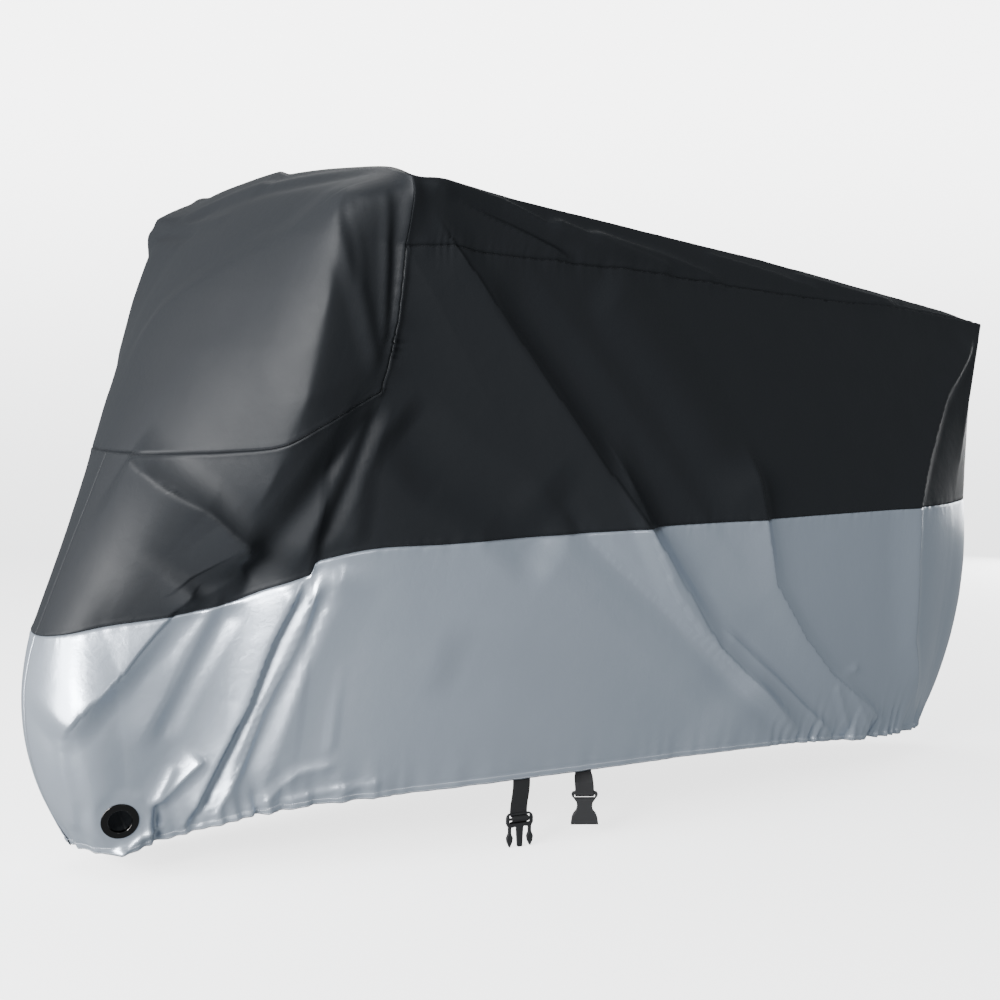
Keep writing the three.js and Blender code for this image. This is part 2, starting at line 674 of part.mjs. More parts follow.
// Path of one strap: behind the skirt, down to the buckle, then through it as its steps say. A step
// gives how far out of the buckle's middle plane and how far below its top the webbing is.
function strapPath({ hemX, drop, lean, turn }, steps) {
  const frame = strapFrame(hemX);
  const sewn = sewnEnd(frame);
  const hem = sewn[sewn.length - 1].centre;
  const across = turnedAcross(frame, turn);
  const out = new THREE.Vector3().crossVectors(across, new THREE.Vector3(0, 0, 1)).normalize();
  const below = (share) => hem.clone().add(new THREE.Vector3(lean * share, 0, -drop * share));
  const buckleTop = below(1).addScaledVector(out, -steps[0][0]);
  const hanging = [[0.2, 0.55], [0.5, 1], [0.75, 1]].map(([share, turned]) => ({
    centre: below(share),
    across: turnedAcross(frame, turn * turned),
  }));
  const threaded = steps.map(([forward, down]) => ({
    centre: buckleTop.clone().addScaledVector(out, forward).add(new THREE.Vector3(0, 0, -down)),
    across,
  }));
  return { path: [...sewn, ...hanging, ...threaded], buckleTop, across, out };
}

const behindPlug = plug.thickness / 2 + pieceGap + webbing.thickness / 2;
const plugStrap = strapPath(plug, [
  [-behindPlug, 2], [-behindPlug, 5], [behindPlug, 8.2], [behindPlug, 15.8], [-behindPlug, 19],
  [-behindPlug, 25],
]);
const barHalf = 2.8;
const frontOfBar = barHalf + pieceGap + webbing.thickness / 2;
const socketStrap = strapPath(socket, [
  [frontOfBar, 1], [frontOfBar, 8.2], [-frontOfBar, 8.2], [-frontOfBar, -12],
]);

// Extruded outline in a buckle's own frame: x across, y up from its top, z out of its middle plane
function plate(shape, thickness) {
  const geometry = new THREE.ExtrudeGeometry(shape, { depth: thickness, bevelEnabled: false });
  return geometry.translate(0, 0, -thickness / 2);
}

function inBuckleFrame(geometry, strap) {
  const place = new THREE.Matrix4().makeBasis(strap.across, new THREE.Vector3(0, 0, 1), strap.out);
  return closed(geometry.applyMatrix4(place.setPosition(strap.buckleTop)));
}

function solid(geometry) {
  const merged = closed(geometry);
  return new wasm.Manifold(new wasm.Mesh({
    numProp: 3,
    vertProperties: new Float32Array(merged.attributes.position.array),
    triVerts: new Uint32Array(merged.index.array),
  }));
}

function fromSolid(body) {
  const mesh = body.getMesh();
  const geometry = new THREE.BufferGeometry();
  geometry.setAttribute('position', new THREE.BufferAttribute(new Float32Array(mesh.vertProperties), 3));
  geometry.setIndex(new THREE.BufferAttribute(new Uint32Array(mesh.triVerts), 1));
  return geometry;
}

function box(width, height, depth, x, y, z) {
  return new THREE.BoxGeometry(width, height, depth).translate(x, y, z);
}

// Slot through a buckle for the webbing, between two heights below the buckle's top
function slot(width, from, to, thickness) {
  return solid(box(width, to - from, 2 * thickness, 0, -(from + to) / 2, 0));
}

// Plug half: ladder bars above, a middle tongue and two arrow-shaped prongs below
function plugHalf() {
  const w = plug.halfWidth;
  const x = plug.prongX;
  const half = [
    [0, 0], [w - 6, -0.8], [w - 1.5, -4.5], [w, -10], [w, -20], [w - 3, -25.5],
    [x + 2.6, -27], [x + 2.6, -38], [x + 6.8, -47.5], [x + 5.4, -56], [x + 0.5, -66], [x - 4.6, -56],
    [x - 6.2, -47.5], [x - 2.6, -39], [x - 2.6, -28], [8.4, -26.5], [7, -29], [5, -64], [4, -66],
  ];
  const shape = new THREE.Shape();
  shape.moveTo(...half[0]);
  half.slice(1).forEach(([across, up]) => shape.lineTo(across, up));
  half.slice(1).reverse().forEach(([across, up]) => shape.lineTo(-across, up));
  shape.closePath();
  const slotWidth = 45.2;
  const body = solid(plate(shape, plug.thickness))
    .subtract(slot(slotWidth, 4, 10, plug.thickness))
    .subtract(slot(slotWidth, 14, 20, plug.thickness));
  return inBuckleFrame(fromSolid(body), plugStrap);
}

// Socket half: a waisted case, open below for the prongs and at its waist where they spring out
function socketHalf() {
  const half = [
    [0, 0], [19, 1.5], [24, 0], [26, -4], [25, -9], [20, -14], [15.5, -21], [14.8, -29], [16.5, -36],
    [22, -43], [25, -50], [27, -socket.height],
  ];
  const shape = new THREE.Shape();
  shape.moveTo(...half[0]);
  half.slice(1).forEach(([across, up]) => shape.lineTo(across, up));
  half.slice(1).reverse().forEach(([across, up]) => shape.lineTo(-across, up));
  shape.closePath();
  const slotWidth = 40.4;
  const innerDepth = socket.thickness - 2 * socket.wall;
  const innerBottom = -socket.height - 2;
  const innerTop = -22;
  const innerHeight = innerTop - innerBottom;
  const cavity = box(46, innerHeight, innerDepth, 0, (innerTop + innerBottom) / 2, 0);
  const shave = socket.thickness / 2 - barHalf;
  const shaveHeight = 14.5;
  const shaveOut = barHalf + shave / 2;
  const shaveAt = (sign) => box(70, shaveHeight, shave, 0, shaveHeight / 2 - 12, sign * shaveOut);
  const body = solid(plate(shape, socket.thickness))
    .subtract(slot(slotWidth, 5.6, 11, socket.thickness))
    .subtract(solid(cavity))
    .subtract(solid(shaveAt(1)))
    .subtract(solid(shaveAt(-1)));
  return inBuckleFrame(fromSolid(body), socketStrap);
}

function piece(name, geometry, material) {
  const mesh = new THREE.Mesh(geometry, material);
  mesh.name = name;
  return mesh;
}

const cover = new THREE.Group();
cover.position.set(-restPlace.x, 0, -restPlace.z);
cover.add(piece('front_hood', hood(), blackCloth));
cover.add(piece('top_strip', strip(), blackCloth));
['left', 'right'].forEach((side) => {
  cover.add(piece(`side_${side}`, sidePanel(side), blackCloth));
  cover.add(piece(`skirt_${side}`, skirtPanel(side), silverCloth));
  cover.add(piece(`eyelet_strip_${side}`, eyeletStrip(side), silverCloth));
  cover.add(piece(`eyelet_${side}`, eyeletRing(side), blackMetal));
});
cover.add(piece('strap_plug_side', webbingAlong(plugStrap.path), blackWeb));
cover.add(piece('buckle_plug', plugHalf(), blackPlastic));
cover.add(piece('strap_socket_side', webbingAlong(socketStrap.path), blackWeb));
cover.add(piece('buckle_socket', socketHalf(), blackPlastic));

const group = new THREE.Group();
group.add(cover);

export default group;
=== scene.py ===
import math

import bmesh
import bpy
import numpy as np
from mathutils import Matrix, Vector
from mathutils.kdtree import KDTree


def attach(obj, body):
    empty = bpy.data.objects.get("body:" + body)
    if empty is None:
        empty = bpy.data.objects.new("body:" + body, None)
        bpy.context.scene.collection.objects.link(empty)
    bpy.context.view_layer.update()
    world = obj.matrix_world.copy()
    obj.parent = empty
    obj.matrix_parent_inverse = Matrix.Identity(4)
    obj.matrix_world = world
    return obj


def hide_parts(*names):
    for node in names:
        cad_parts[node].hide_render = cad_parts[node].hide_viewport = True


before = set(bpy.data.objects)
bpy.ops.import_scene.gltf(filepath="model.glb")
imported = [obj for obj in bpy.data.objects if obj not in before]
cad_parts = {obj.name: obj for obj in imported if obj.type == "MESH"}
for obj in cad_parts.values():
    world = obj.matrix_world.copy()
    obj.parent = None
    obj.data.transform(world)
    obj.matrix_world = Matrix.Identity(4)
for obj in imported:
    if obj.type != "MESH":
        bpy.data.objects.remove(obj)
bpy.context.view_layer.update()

# Camera
# It stands in front of the cover's left side, level with the middle of the cover, and looks slightly
# down. A field 1 m wide is 1.8 m away in its lens.
camera_data = bpy.data.cameras.new("camera")
camera_data.sensor_width = 36.0
camera_data.lens = 64.8
camera = bpy.data.objects.new("camera", camera_data)
camera.location = (-2.188, -3.115, -0.2303)
camera.rotation_euler = (math.radians(90 - 4.2), 0.0, math.radians(-32.6))
bpy.context.scene.collection.objects.link(camera)
bpy.context.scene.camera = camera


# Front hood
# One cut of black coated polyester, from the crest down to the level front seam and back to the
# puckered seam at each side. It is sewn to the top strip and to both side panels. All tables are in
# millimetres: x backwards from a line 276 mm behind the nose, y from the middle plane, z up from the
# ground.
REST = np.array([900.0, 0.0, 1145.3])
CLOTH = 1.1
FINE = 1.0
CREST_X = 235.0

LINE_COLUMNS = ("top", "seam", "hem", "bulge")
LINES = [
    ((-138, 0, 765), (-276, 0, 442), (-218, 0, 54), 46),
    ((-124, 105, 765), (-250, 82, 450), (-190, 80, 52), 40),
    ((-88, 205, 767), (-188, 115, 465), (-143, 96, 52), 24),
    ((-25, 295, 771), (-84, 150, 480), (-77, 106, 68), 12),
    ((32, 368, 782), (13, 203, 503), (6, 132, 90), 2),
    ((85, 402, 812), (88, 262, 540), (93, 162, 105), 0),
    ((208, 400, 874), (216, 320, 587), (216, 212, 119), 6),
    ((226, 418, 985), (383, 336, 595), (487, 268, 129), 12),
    ((235, 435, 1122), (617, 345, 600), (845, 293, 132), 14),
    ((367, 412, 1121), (828, 346, 605), (1179, 284, 126), 14),
    ((547, 380, 1112), (969, 342, 607), (1313, 258, 114), 14),
    ((807, 330, 1100), (1133, 330, 607), (1443, 230, 99), 14),
    ((1098, 266, 1081), (1330, 310, 607), (1578, 190, 84), 14),
    ((1400, 196, 1063), (1499, 285, 606), (1696, 150, 73), 16),
    ((1725, 126, 1050), (1649, 250, 604), (1779, 110, 67), 20),
    ((2062, 45, 1021), (1898, 122, 598), (1853, 52, 57), 28),
    ((2062, 0, 1021), (2040, 0, 596), (1896, 0, 44), 56),
]
FOLD_END, SHOULDER, CORNER, TAIL = 6, 8, 15, 16

HOOD_COLUMNS = ("centre_x", "centre_z", "corner_x", "corner_y", "corner_z")
HOOD_SECTIONS = [
    (-138, 765, 32, 368, 782),
    (-98, 860, 42, 396, 862),
    (-55, 950, 56, 408, 950),
    (5, 1050, 82, 411, 1050),
    (75, 1145, 112, 412, 1135),
    (165, 1236, 150, 420, 1200),
    (CREST_X, 1281, CREST_X, 400, 1256),
]
PEAK_EDGE = [(435, 1122), (455, 1170), (468, 1212), (459, 1239)]
HOOD_ROWS = 9
PUCKER_ROWS = 6
HOOD_CURVE = 0.27

# A fold's path runs over the cloth. Its widths lie to the left and to the right of someone who walks
# along the path outside the cover, and crisp runs from 1, a crease, to 2, a soft roll.
FOLD_COLUMNS = ("height", "left", "right", "crisp", "path")
SIDE_FOLDS = [
    (22, 60, 200, 1.0, [(258, -450, 1219), (536, -398, 911), (813, -359, 609), (1013, -345, 357),
                        (1296, -263, 122)]),
    (-12, 90, 50, 2, [(420, -400, 1080), (600, -380, 900), (870, -350, 600), (1060, -335, 400)]),
    (12, 100, 100, 2, [(702, -352, 1098), (902, -341, 891), (1060, -338, 691), (1133, -330, 606)]),
    (-16, 80, 90, 2, [(239, -400, 828), (362, -370, 733), (489, -350, 661), (620, -340, 540)]),
    (42, 80, 185, 1.0, [(-150, -110, 775), (-117, -163, 731), (-59, -236, 668), (5, -256, 604),
                        (35, -243, 562)]),
    (7, 40, 110, 1.2, [(35, -243, 566), (-18, -201, 526), (-92, -151, 487)]),
    (-24, 60, 60, 1.3, [(211, -398, 868), (128, -360, 740), (60, -270, 607), (22, -208, 500)]),
    (10, 40, 50, 1.3, [(201, -399, 862), (140, -355, 715), (98, -275, 560)]),
    (-12, 26, 30, 1.4, [(214, -396, 860), (175, -362, 730), (128, -300, 585)]),
    (8, 40, 60, 1.4, [(211, -398, 862), (192, -370, 721), (188, -310, 585)]),
    (26, 46, 170, 1.0, [(-40, -180, 545), (-67, -169, 508), (-117, -152, 443), (-163, -140, 391),
                        (-219, -120, 333), (-270, -86, 250)]),
    (10, 40, 55, 1.4, [(0, -200, 530), (-36, -175, 462), (-71, -165, 388), (-99, -153, 326),
                       (-150, -138, 235)]),
    (-9, 34, 34, 1.6, [(10, -205, 500), (-31, -183, 410), (-62, -165, 339), (-100, -146, 250)]),
    (24, 24, 85, 1.0, [(118, -284, 550), (106, -260, 517), (72, -215, 423), (45, -179, 316),
                       (-6, -145, 196), (-70, -110, 60)]),
    (-12, 22, 18, 1.1, [(118, -272, 535), (82, -223, 427), (56, -184, 315), (3, -147, 195),
                        (-45, -118, 80)]),
    (17, 46, 26, 1.0, [(148, -299, 566), (130, -272, 506), (105, -233, 412), (68, -188, 306),
                       (42, -156, 208), (-10, -130, 80)]),
    (-9, 30, 26, 1.3, [(159, -297, 540), (124, -246, 414), (86, -199, 302), (40, -155, 140)]),
    (14, 90, 46, 1.1, [(182, -310, 580), (160, -293, 506), (134, -250, 395), (110, -211, 283),
                       (70, -170, 130)]),
    (5, 16, 16, 1.4, [(192, -290, 400), (188, -255, 300), (188, -225, 205)]),
    (8, 24, 38, 1.1, [(60, -155, 100), (113, -183, 159), (137, -199, 181), (210, -228, 196)]),
    (6, 18, 38, 1.2, [(100, -170, 112), (132, -183, 129), (199, -212, 143), (300, -240, 157)]),
    (13, 24, 54, 1.0, [(-20, -146, 225), (-50, -137, 194), (-83, -124, 157), (-108, -119, 133),
                       (-115, -112, 100), (-120, -100, 50)]),
    (-13, 16, 18, 1.1, [(-104, -122, 145), (-96, -112, 100), (-93, -100, 45)]),
    (9, 14, 22, 1.0, [(-80, -112, 95), (-127, -106, 78), (-151, -96, 57), (-185, -85, 40)]),
    (4, 16, 20, 1.1, [(-70, -128, 210), (-95, -124, 160), (-112, -120, 128)]),
    (6, 26, 26, 1.2, [(-266, -95, 275), (-253, -84, 203), (-240, -78, 156), (-226, -50, 84)]),
    (-11, 110, 110, 2, [(560, -352, 700), (845, -356, 470), (1011, -339, 340), (1140, -313, 232)]),
    (-9, 34, 60, 1.3, [(600, -350, 680), (735, -358, 554), (828, -359, 478), (921, -354, 404),
                       (971, -347, 365), (1104, -323, 244), (1290, -268, 125)]),
    (20, 60, 40, 1.1, [(700, -345, 800), (792, -361, 653), (828, -362, 574), (881, -361, 479),
                       (967, -352, 382), (1084, -330, 286), (1330, -258, 110)]),
    (12, 22, 40, 1.05, [(1020, -340, 400), (1154, -311, 297), (1282, -277, 202), (1420, -240, 110)]),
    (24, 42, 130, 1.0, [(1075, -325, 780), (1098, -329, 689), (1128, -333, 590), (1166, -335, 471),
                        (1264, -317, 354), (1372, -287, 259), (1640, -175, 95)]),
    (10, 20, 22, 1.1, [(1345, -295, 285), (1416, -271, 248), (1485, -245, 262)]),
    (9, 20, 26, 1.1, [(1385, -275, 240), (1440, -250, 160), (1500, -222, 90)]),
    (9, 18, 22, 1.1, [(1440, -265, 225), (1500, -237, 160), (1570, -205, 90)]),
    (20, 46, 120, 1.0, [(2050, -42, 1005), (1854, -130, 859), (1703, -220, 685), (1646, -265, 605),
                        (1652, -253, 487), (1683, -217, 300), (1790, -115, 80)]),
    (-8, 110, 110, 2, [(356, -307, 384), (730, -319, 274), (1072, -299, 165)]),
]
FAR_FOLDS = [
    (12, 120, 90, 1.4, [(258, 450, 1219), (560, 385, 940), (900, 345, 600), (1260, 280, 180)]),
    (-9, 80, 80, 2, [(420, 400, 1060), (700, 365, 800), (1010, 340, 520)]),
    (10, 70, 60, 1.6, [(205, 400, 850), (140, 340, 680), (95, 262, 520), (20, 165, 260)]),
    (-12, 60, 60, 1.8, [(205, 400, 840), (200, 340, 640), (205, 270, 380), (210, 222, 190)]),
    (11, 60, 60, 1.5, [(-60, 160, 480), (-150, 135, 340), (-235, 100, 210)]),
    (10, 80, 80, 1.8, [(1000, 340, 600), (1180, 320, 420), (1480, 240, 190)]),
    (12, 80, 70, 1.4, [(2050, 42, 1005), (1870, 125, 860), (1680, 235, 700), (1690, 235, 470),
                       (1755, 145, 170)]),
]
HOOD_FOLDS = [
    (9, 150, 70, 1.5, [(228, -430, 1243), (87, -280, 1147), (23, -105, 1081), (-21, 28, 1010),
                       (-70, 90, 890)]),
    (5, 26, 26, 1.5, [(228, -418, 1248), (202, -104, 1259), (180, 182, 1248), (150, 349, 1211)]),
    (-5, 30, 30, 1.7, [(215, -380, 1245), (185, -110, 1235), (160, 180, 1225), (140, 330, 1195)]),
    (5, 24, 24, 1.4, [(140, 440, 1210), (134, 405, 1202), (128, 187, 1193), (122, 30, 1194)]),
    (-5, 22, 22, 1.5, [(135, 440, 1190), (125, 380, 1186), (105, 150, 1172)]),
    (5, 22, 26, 1.5, [(110, 430, 1165), (110, 370, 1165), (88, 200, 1150)]),
    (34, 100, 100, 2, [(110, 380, 1150), (160, 440, 1212), (195, 465, 1232), (240, 470, 1240),
                       (420, 420, 1225)]),
    (10, 110, 110, 2, [(235, 0, 1281), (235, 180, 1276), (235, 330, 1262), (235, 470, 1240)]),
    (6, 24, 30, 1.5, [(118, -385, 1190), (125, -426, 1095), (162, -425, 979), (194, -405, 890)]),
    (5, 20, 20, 1.5, [(145, -406, 1200), (154, -430, 1045), (196, -408, 905)]),
    (6, 18, 20, 1.4, [(193, -441, 1220), (200, -431, 1097), (202, -413, 930)]),
    (-5, 18, 18, 1.5, [(210, -450, 1215), (214, -430, 1090), (210, -410, 930)]),
    (5, 16, 18, 1.5, [(230, -462, 1212), (232, -428, 1064), (216, -405, 905)]),
    (13, 70, 64, 1.0, [(150, -400, 1235), (129, -394, 1188), (95, -421, 1028), (59, -404, 861),
                        (27, -333, 725), (10, -270, 640)]),
]
STRIP_FOLDS = [
    (12, 24, 44, 1.0, [(250, -457, 1231), (394, -421, 1187), (637, -363, 1106)]),
    (10, 22, 36, 1.0, [(257, -455, 1238), (447, -402, 1207), (600, -368, 1160), (813, -329, 1112)]),
    (-7, 24, 24, 1.3, [(300, -440, 1212), (480, -395, 1175), (660, -356, 1124)]),
    (11, 26, 48, 1.0, [(560, -376, 1184), (755, -342, 1138), (930, -304, 1098)]),
    (9, 24, 40, 1.0, [(660, -358, 1166), (871, -315, 1132), (1085, -269, 1084)]),
    (8, 30, 46, 1.1, [(1000, -268, 1140), (1240, -215, 1105), (1430, -185, 1070)]),
    (8, 26, 44, 1.1, [(1300, -200, 1112), (1522, -158, 1082), (1712, -122, 1056)]),
    (8, 60, 60, 1.6, [(265, 445, 1235), (400, 420, 1175), (620, 370, 1120)]),
    (6, 40, 40, 1.5, [(700, 345, 1165), (900, 305, 1120), (1100, 262, 1090)]),
    (-14, 160, 160, 2, [(360, 0, 1250), (700, 0, 1190), (1300, 0, 1115)]),
]


def rows(columns, table):
    return [dict(zip(columns, row)) for row in table]


lines = rows(LINE_COLUMNS, LINES)
folds = rows(FOLD_COLUMNS, SIDE_FOLDS + FAR_FOLDS + HOOD_FOLDS + STRIP_FOLDS)


def unit(v):
    return v / np.maximum(np.linalg.norm(v, axis=-1, keepdims=True), 1e-9)


def mirrored(p):
    return p * np.array([1.0, -1.0, 1.0])


def curve_at(points, t, closed=False):
    """Points of the centripetal Catmull-Rom curve through the given points, for t from 0 to 1."""
    points = np.asarray(points, float)
    n = len(points)
    place = np.clip(np.asarray(t, float), 0, 1) * (n if closed else n - 1)
    i = np.floor(place).astype(int)
    if not closed:
        i = np.minimum(i, n - 2)
    w = (place - i)[..., None]
    if closed:
        p0, p1, p2, p3 = (points[(i + k) % n] for k in (-1, 0, 1, 2))
    else:
        ends = np.vstack([2 * points[0] - points[1], points, 2 * points[-1] - points[-2]])
        p0, p1, p2, p3 = (ends[i + k] for k in (0, 1, 2, 3))
    d0, d1, d2 = (
        np.sqrt(np.linalg.norm(b - a, axis=-1, keepdims=True)) for a, b in ((p0, p1), (p1, p2), (p2, p3))
    )
    m1 = ((p1 - p0) / d0 - (p2 - p0) / (d0 + d1) + (p2 - p1) / d1) * d1
    m2 = ((p2 - p1) / d1 - (p3 - p1) / (d1 + d2) + (p3 - p2) / d2) * d1
    c2 = 3 * (p2 - p1) - 2 * m1 - m2
    c3 = 2 * (p1 - p2) + m1 + m2
    return p1 + w * (m1 + w * (c2 + w * c3))


def left_points(edge):
    return mirrored(np.array([line[edge] for line in lines], float))


# The colour seam steps up at this line, and falls back to its even run behind the step.
SEAM_STEP = {"line": 5.34, "dip": 6.0, "before": 1.1, "rise": 16.0, "behind": 0.7}


def closed_rail(edge, u):
    left = left_points(edge)
    ring = np.vstack([left, mirrored(left[-2:0:-1])])
    u = np.asarray(u, float)
    points = curve_at(ring, u / len(ring), closed=True)
    if edge == "seam":
        past = u - SEAM_STEP["line"]
        dip = -SEAM_STEP["dip"] * np.clip(1 + past / SEAM_STEP["before"], 0, 1) ** 2
        rise = SEAM_STEP["rise"] * np.exp(-np.maximum(past, 0) / SEAM_STEP["behind"])
        points[..., 2] += dip + (rise - dip) * np.clip(past / 0.06, 0, 1)
    return points


TOP = left_points("top")
FRONT = np.vstack([mirrored(TOP[FOLD_END:0:-1]), TOP[: FOLD_END + 1]])


def top_rail(u):
    """Upper edge of the side panel: front seam, puckered seam, long top seam, tail."""
    u = np.asarray(u, float)
    front = curve_at(FRONT, 0.5 + 0.5 * u / FOLD_END)
    pucker = curve_at(TOP[FOLD_END : SHOULDER + 1], (u - FOLD_END) / (SHOULDER - FOLD_END))
    side = curve_at(TOP[SHOULDER : CORNER + 1], (u - SHOULDER) / (CORNER - SHOULDER))
    tail = TOP[CORNER] + (TOP[TAIL] - TOP[CORNER]) * (u - CORNER)[..., None]
    where = u[..., None]
    return np.where(
        where <= FOLD_END, front, np.where(where <= SHOULDER, pucker, np.where(where <= CORNER, side, tail))
    )


# A sheet inside the cover, on its middle plane. Its front edge leans back between two heights.
SPINE_LEAN = (450, 1000)
SPINE_FRONT = (-180, 200)
SPINE_TAIL = 1850
SPINE_HEIGHTS = (60, 900)


def outward(p):
    """Way out of the cover at a point: straight away from the nearest place of the spine."""
    low, high = SPINE_LEAN
    rise = np.clip((p[..., 2] - low) / (high - low), 0, 1)
    front = SPINE_FRONT[0] + (SPINE_FRONT[1] - SPINE_FRONT[0]) * rise
    x = np.minimum(np.maximum(p[..., 0], front), SPINE_TAIL)
    inside = np.stack([x, np.zeros_like(rise), np.clip(p[..., 2], *SPINE_HEIGHTS)], -1)
    return unit(p - inside)


def smooth(t):
    t = np.clip(t, 0, 1)
    return t * t * (3 - 2 * t)


# The part of its length over which a fold rises at its start and sinks at its end
FOLD_START = 0.11
FOLD_FADE = 0.16


def fold_height(fold, p, out):
    path = np.array(fold["path"], float)
    reach = max(fold["left"], fold["right"])
    near = np.all((p > path.min(0) - reach) & (p < path.max(0) + reach), axis=-1)
    height = np.zeros(len(p))
    if not near.any():
        return height
    q, o = p[near], out[near]
    best = np.full(len(q), np.inf)
    place = np.zeros(len(q))
    leftward = np.zeros(len(q), bool)
    before = 0.0
    for start, end in zip(path[:-1], path[1:]):
        along = end - start
        run = np.linalg.norm(along)
        t = np.clip((q - start) @ along / run**2, 0, 1)
        miss = q - start - t[:, None] * along
        distance = np.linalg.norm(miss, axis=1)
        closer = distance < best
        best = np.where(closer, distance, best)
        place = np.where(closer, before + t * run, place)
        leftward = np.where(closer, (np.cross(o, along) * miss).sum(1) > 0, leftward)
        before += run
    across = np.minimum(best / np.where(leftward, fold["left"], fold["right"]), 1)
    ends = smooth(place / (FOLD_START * before)) * smooth((before - place) / (FOLD_FADE * before))
    height[near] = fold["height"] * ends * (1 - across ** fold["crisp"]) ** 2
    return height


def noise(p, size, seed):
    """Smooth random values from -1 to 1, with bumps of about the given size."""
    q = p / size
    cell = np.floor(q).astype(np.int64)
    f = q - cell
    f = f * f * (3 - 2 * f)
    total = np.zeros(len(p))
    for dx in (0, 1):
        for dy in (0, 1):
            for dz in (0, 1):
                c = cell + np.array([dx, dy, dz])
                h = (c[:, 0] * 73856093) ^ (c[:, 1] * 19349663) ^ (c[:, 2] * 83492791) ^ (seed * 2654435)
                h = (h ^ (h >> 13)) * 1274126177
                value = ((h ^ (h >> 16)) & 0xFFFF) / 32767.5 - 1
                weight = (
                    np.where(dx, f[:, 0], 1 - f[:, 0])
                    * np.where(dy, f[:, 1], 1 - f[:, 1])
                    * np.where(dz, f[:, 2], 1 - f[:, 2])
                )
                total += weight * value
    return total


def seam_distance(p, line):
    """Distance to a seam, and how far along it the nearest place is."""
    steps = np.linalg.norm(np.diff(line, axis=0), axis=1)
    along = np.concatenate([[0], np.cumsum(steps)])
    tree = KDTree(len(line))
    for k, point in enumerate(line.tolist()):
        tree.insert(point, k)
    tree.balance()
    near = [tree.find(point)[1:] for point in p.tolist()]
    return np.array([n[1] for n in near]), along[[n[0] for n in near]]


# The sewn lines. Pucker is the height of the small gathers that the stitching draws beside the seam.
SEAM_COLUMNS = ("name", "edge", "start", "end", "pucker", "reach")
SEAMS = [
    ("front", "top", 0, FOLD_END, 1.8, 16),
    ("puckered", "top", FOLD_END, SHOULDER, 4.2, 26),
    ("top", "top", SHOULDER, CORNER, 2.4, 20),
    ("colour", "seam", 0, TAIL, 1.5, 16),
]
seams = rows(SEAM_COLUMNS, SEAMS)

# The cloth's unevenness, as soft bumps of three sizes
UNEVEN_COLUMNS = ("height", "size", "seed")
UNEVEN = rows(UNEVEN_COLUMNS, [(0.8, 170, 3), (0.35, 52, 7), (0.12, 19, 11)])

# Gathers along a seam, the roll of the cloth at its stitches, and the groove of the seam itself
GATHER_SIZES = (7, 17)
ROLL_AWAY = 4
ROLL_HEIGHT = 0.9
GROOVE_DEPTH = 1.2


def seam_line(seam, count=700):
    u = np.linspace(seam["start"], seam["end"], count)
    return top_rail(u) if seam["edge"] == "top" else closed_rail("seam", u)


def draped(p, hem=None):
    """The cloth with its folds, its unevenness and the gathers beside its seams."""
    shape = p.shape
    p = p.reshape(-1, 3)
    out = outward(p)
    height = sum(fold_height(fold, p, out) for fold in folds)
    for bump in UNEVEN:
        height = height + bump["height"] * noise(p, bump["size"], bump["seed"])
    beside = mirrored(p) if p[:, 1].mean() > 0 else p
    for seam in seams:
        distance, place = seam_distance(beside, seam_line(seam))
        ripple = noise(np.stack([place, place * 0, place * 0], 1), GATHER_SIZES[0], 5)
        ripple += 0.7 * noise(np.stack([place, place * 0 + 40, place * 0], 1), GATHER_SIZES[1], 6)
        fade = np.exp(-((distance / seam["reach"]) ** 1.5))
        height += seam["pucker"] * 0.6 * fade * ripple
        height += ROLL_HEIGHT * np.exp(-((distance - ROLL_AWAY) ** 2) / 9)
        height -= GROOVE_DEPTH * np.exp(-(distance**2) / 4)
    if hem is not None:
        height += hem
    return (p + out * height[:, None]).reshape(shape)


def cloth_mesh(name, outer, material, used=None, back=None):
    """Closed sheet from a grid of outer points, with its inner face one thickness of cloth inwards."""
    n, m = outer.shape[:2]
    index = np.arange(n * m).reshape(n, m)
    quads = np.stack([index[:-1, :-1], index[1:, :-1], index[1:, 1:], index[:-1, 1:]], -1)
    quads = quads[used] if used is not None else quads.reshape(-1, 4)
    points = outer.reshape(-1, 3)
    normal = np.cross(points[quads[:, 1]] - points[quads[:, 0]], points[quads[:, 3]] - points[quads[:, 0]])
    if (normal * outward(points[quads[:, 0]])).sum() < 0:
        quads = quads[:, ::-1]
    inner = points - outward(points) * CLOTH
    count = len(points)
    start, end = quads.ravel(), np.roll(quads, -1, axis=1).ravel()
    open_edge = ~np.isin(start * count + end, end * count + start)
    a, b = start[open_edge], end[open_edge]
    face = np.vstack([quads[:, [0, 1, 2]], quads[:, [0, 2, 3]]])
    faces = np.vstack(
        [face, face[:, ::-1] + count, np.stack([b, a, a + count], 1), np.stack([b, a + count, b + count], 1)]
    )
    keep = np.unique(faces)
    renumber = np.zeros(2 * count, int)
    renumber[keep] = np.arange(len(keep))
    vertices = (np.vstack([points, inner])[keep] - REST) / 1000
    mesh = bpy.data.meshes.new(name)
    mesh.from_pydata(vertices.tolist(), [], renumber[faces].tolist())
    mesh.polygons.foreach_set("use_smooth", np.ones(len(faces), bool))
    mesh.materials.append(material)
    # The inner face can take a second material. The skirts give theirs a near-black one, which is painted
    # shade for the inside of the cover seen through the eyelet holes.
    if back is not None:
        mesh.materials.append(back)
        kind = np.zeros(len(faces), np.int32)
        kind[len(face) : 2 * len(face)] = 1
        mesh.polygons.foreach_set("material_index", kind)
    obj = bpy.data.objects.new(name, mesh)
    bpy.context.scene.collection.objects.link(obj)
    return obj


def spread(first, last, count):
    return np.linspace(first, last, max(int(count * FINE), 6), endpoint=False)


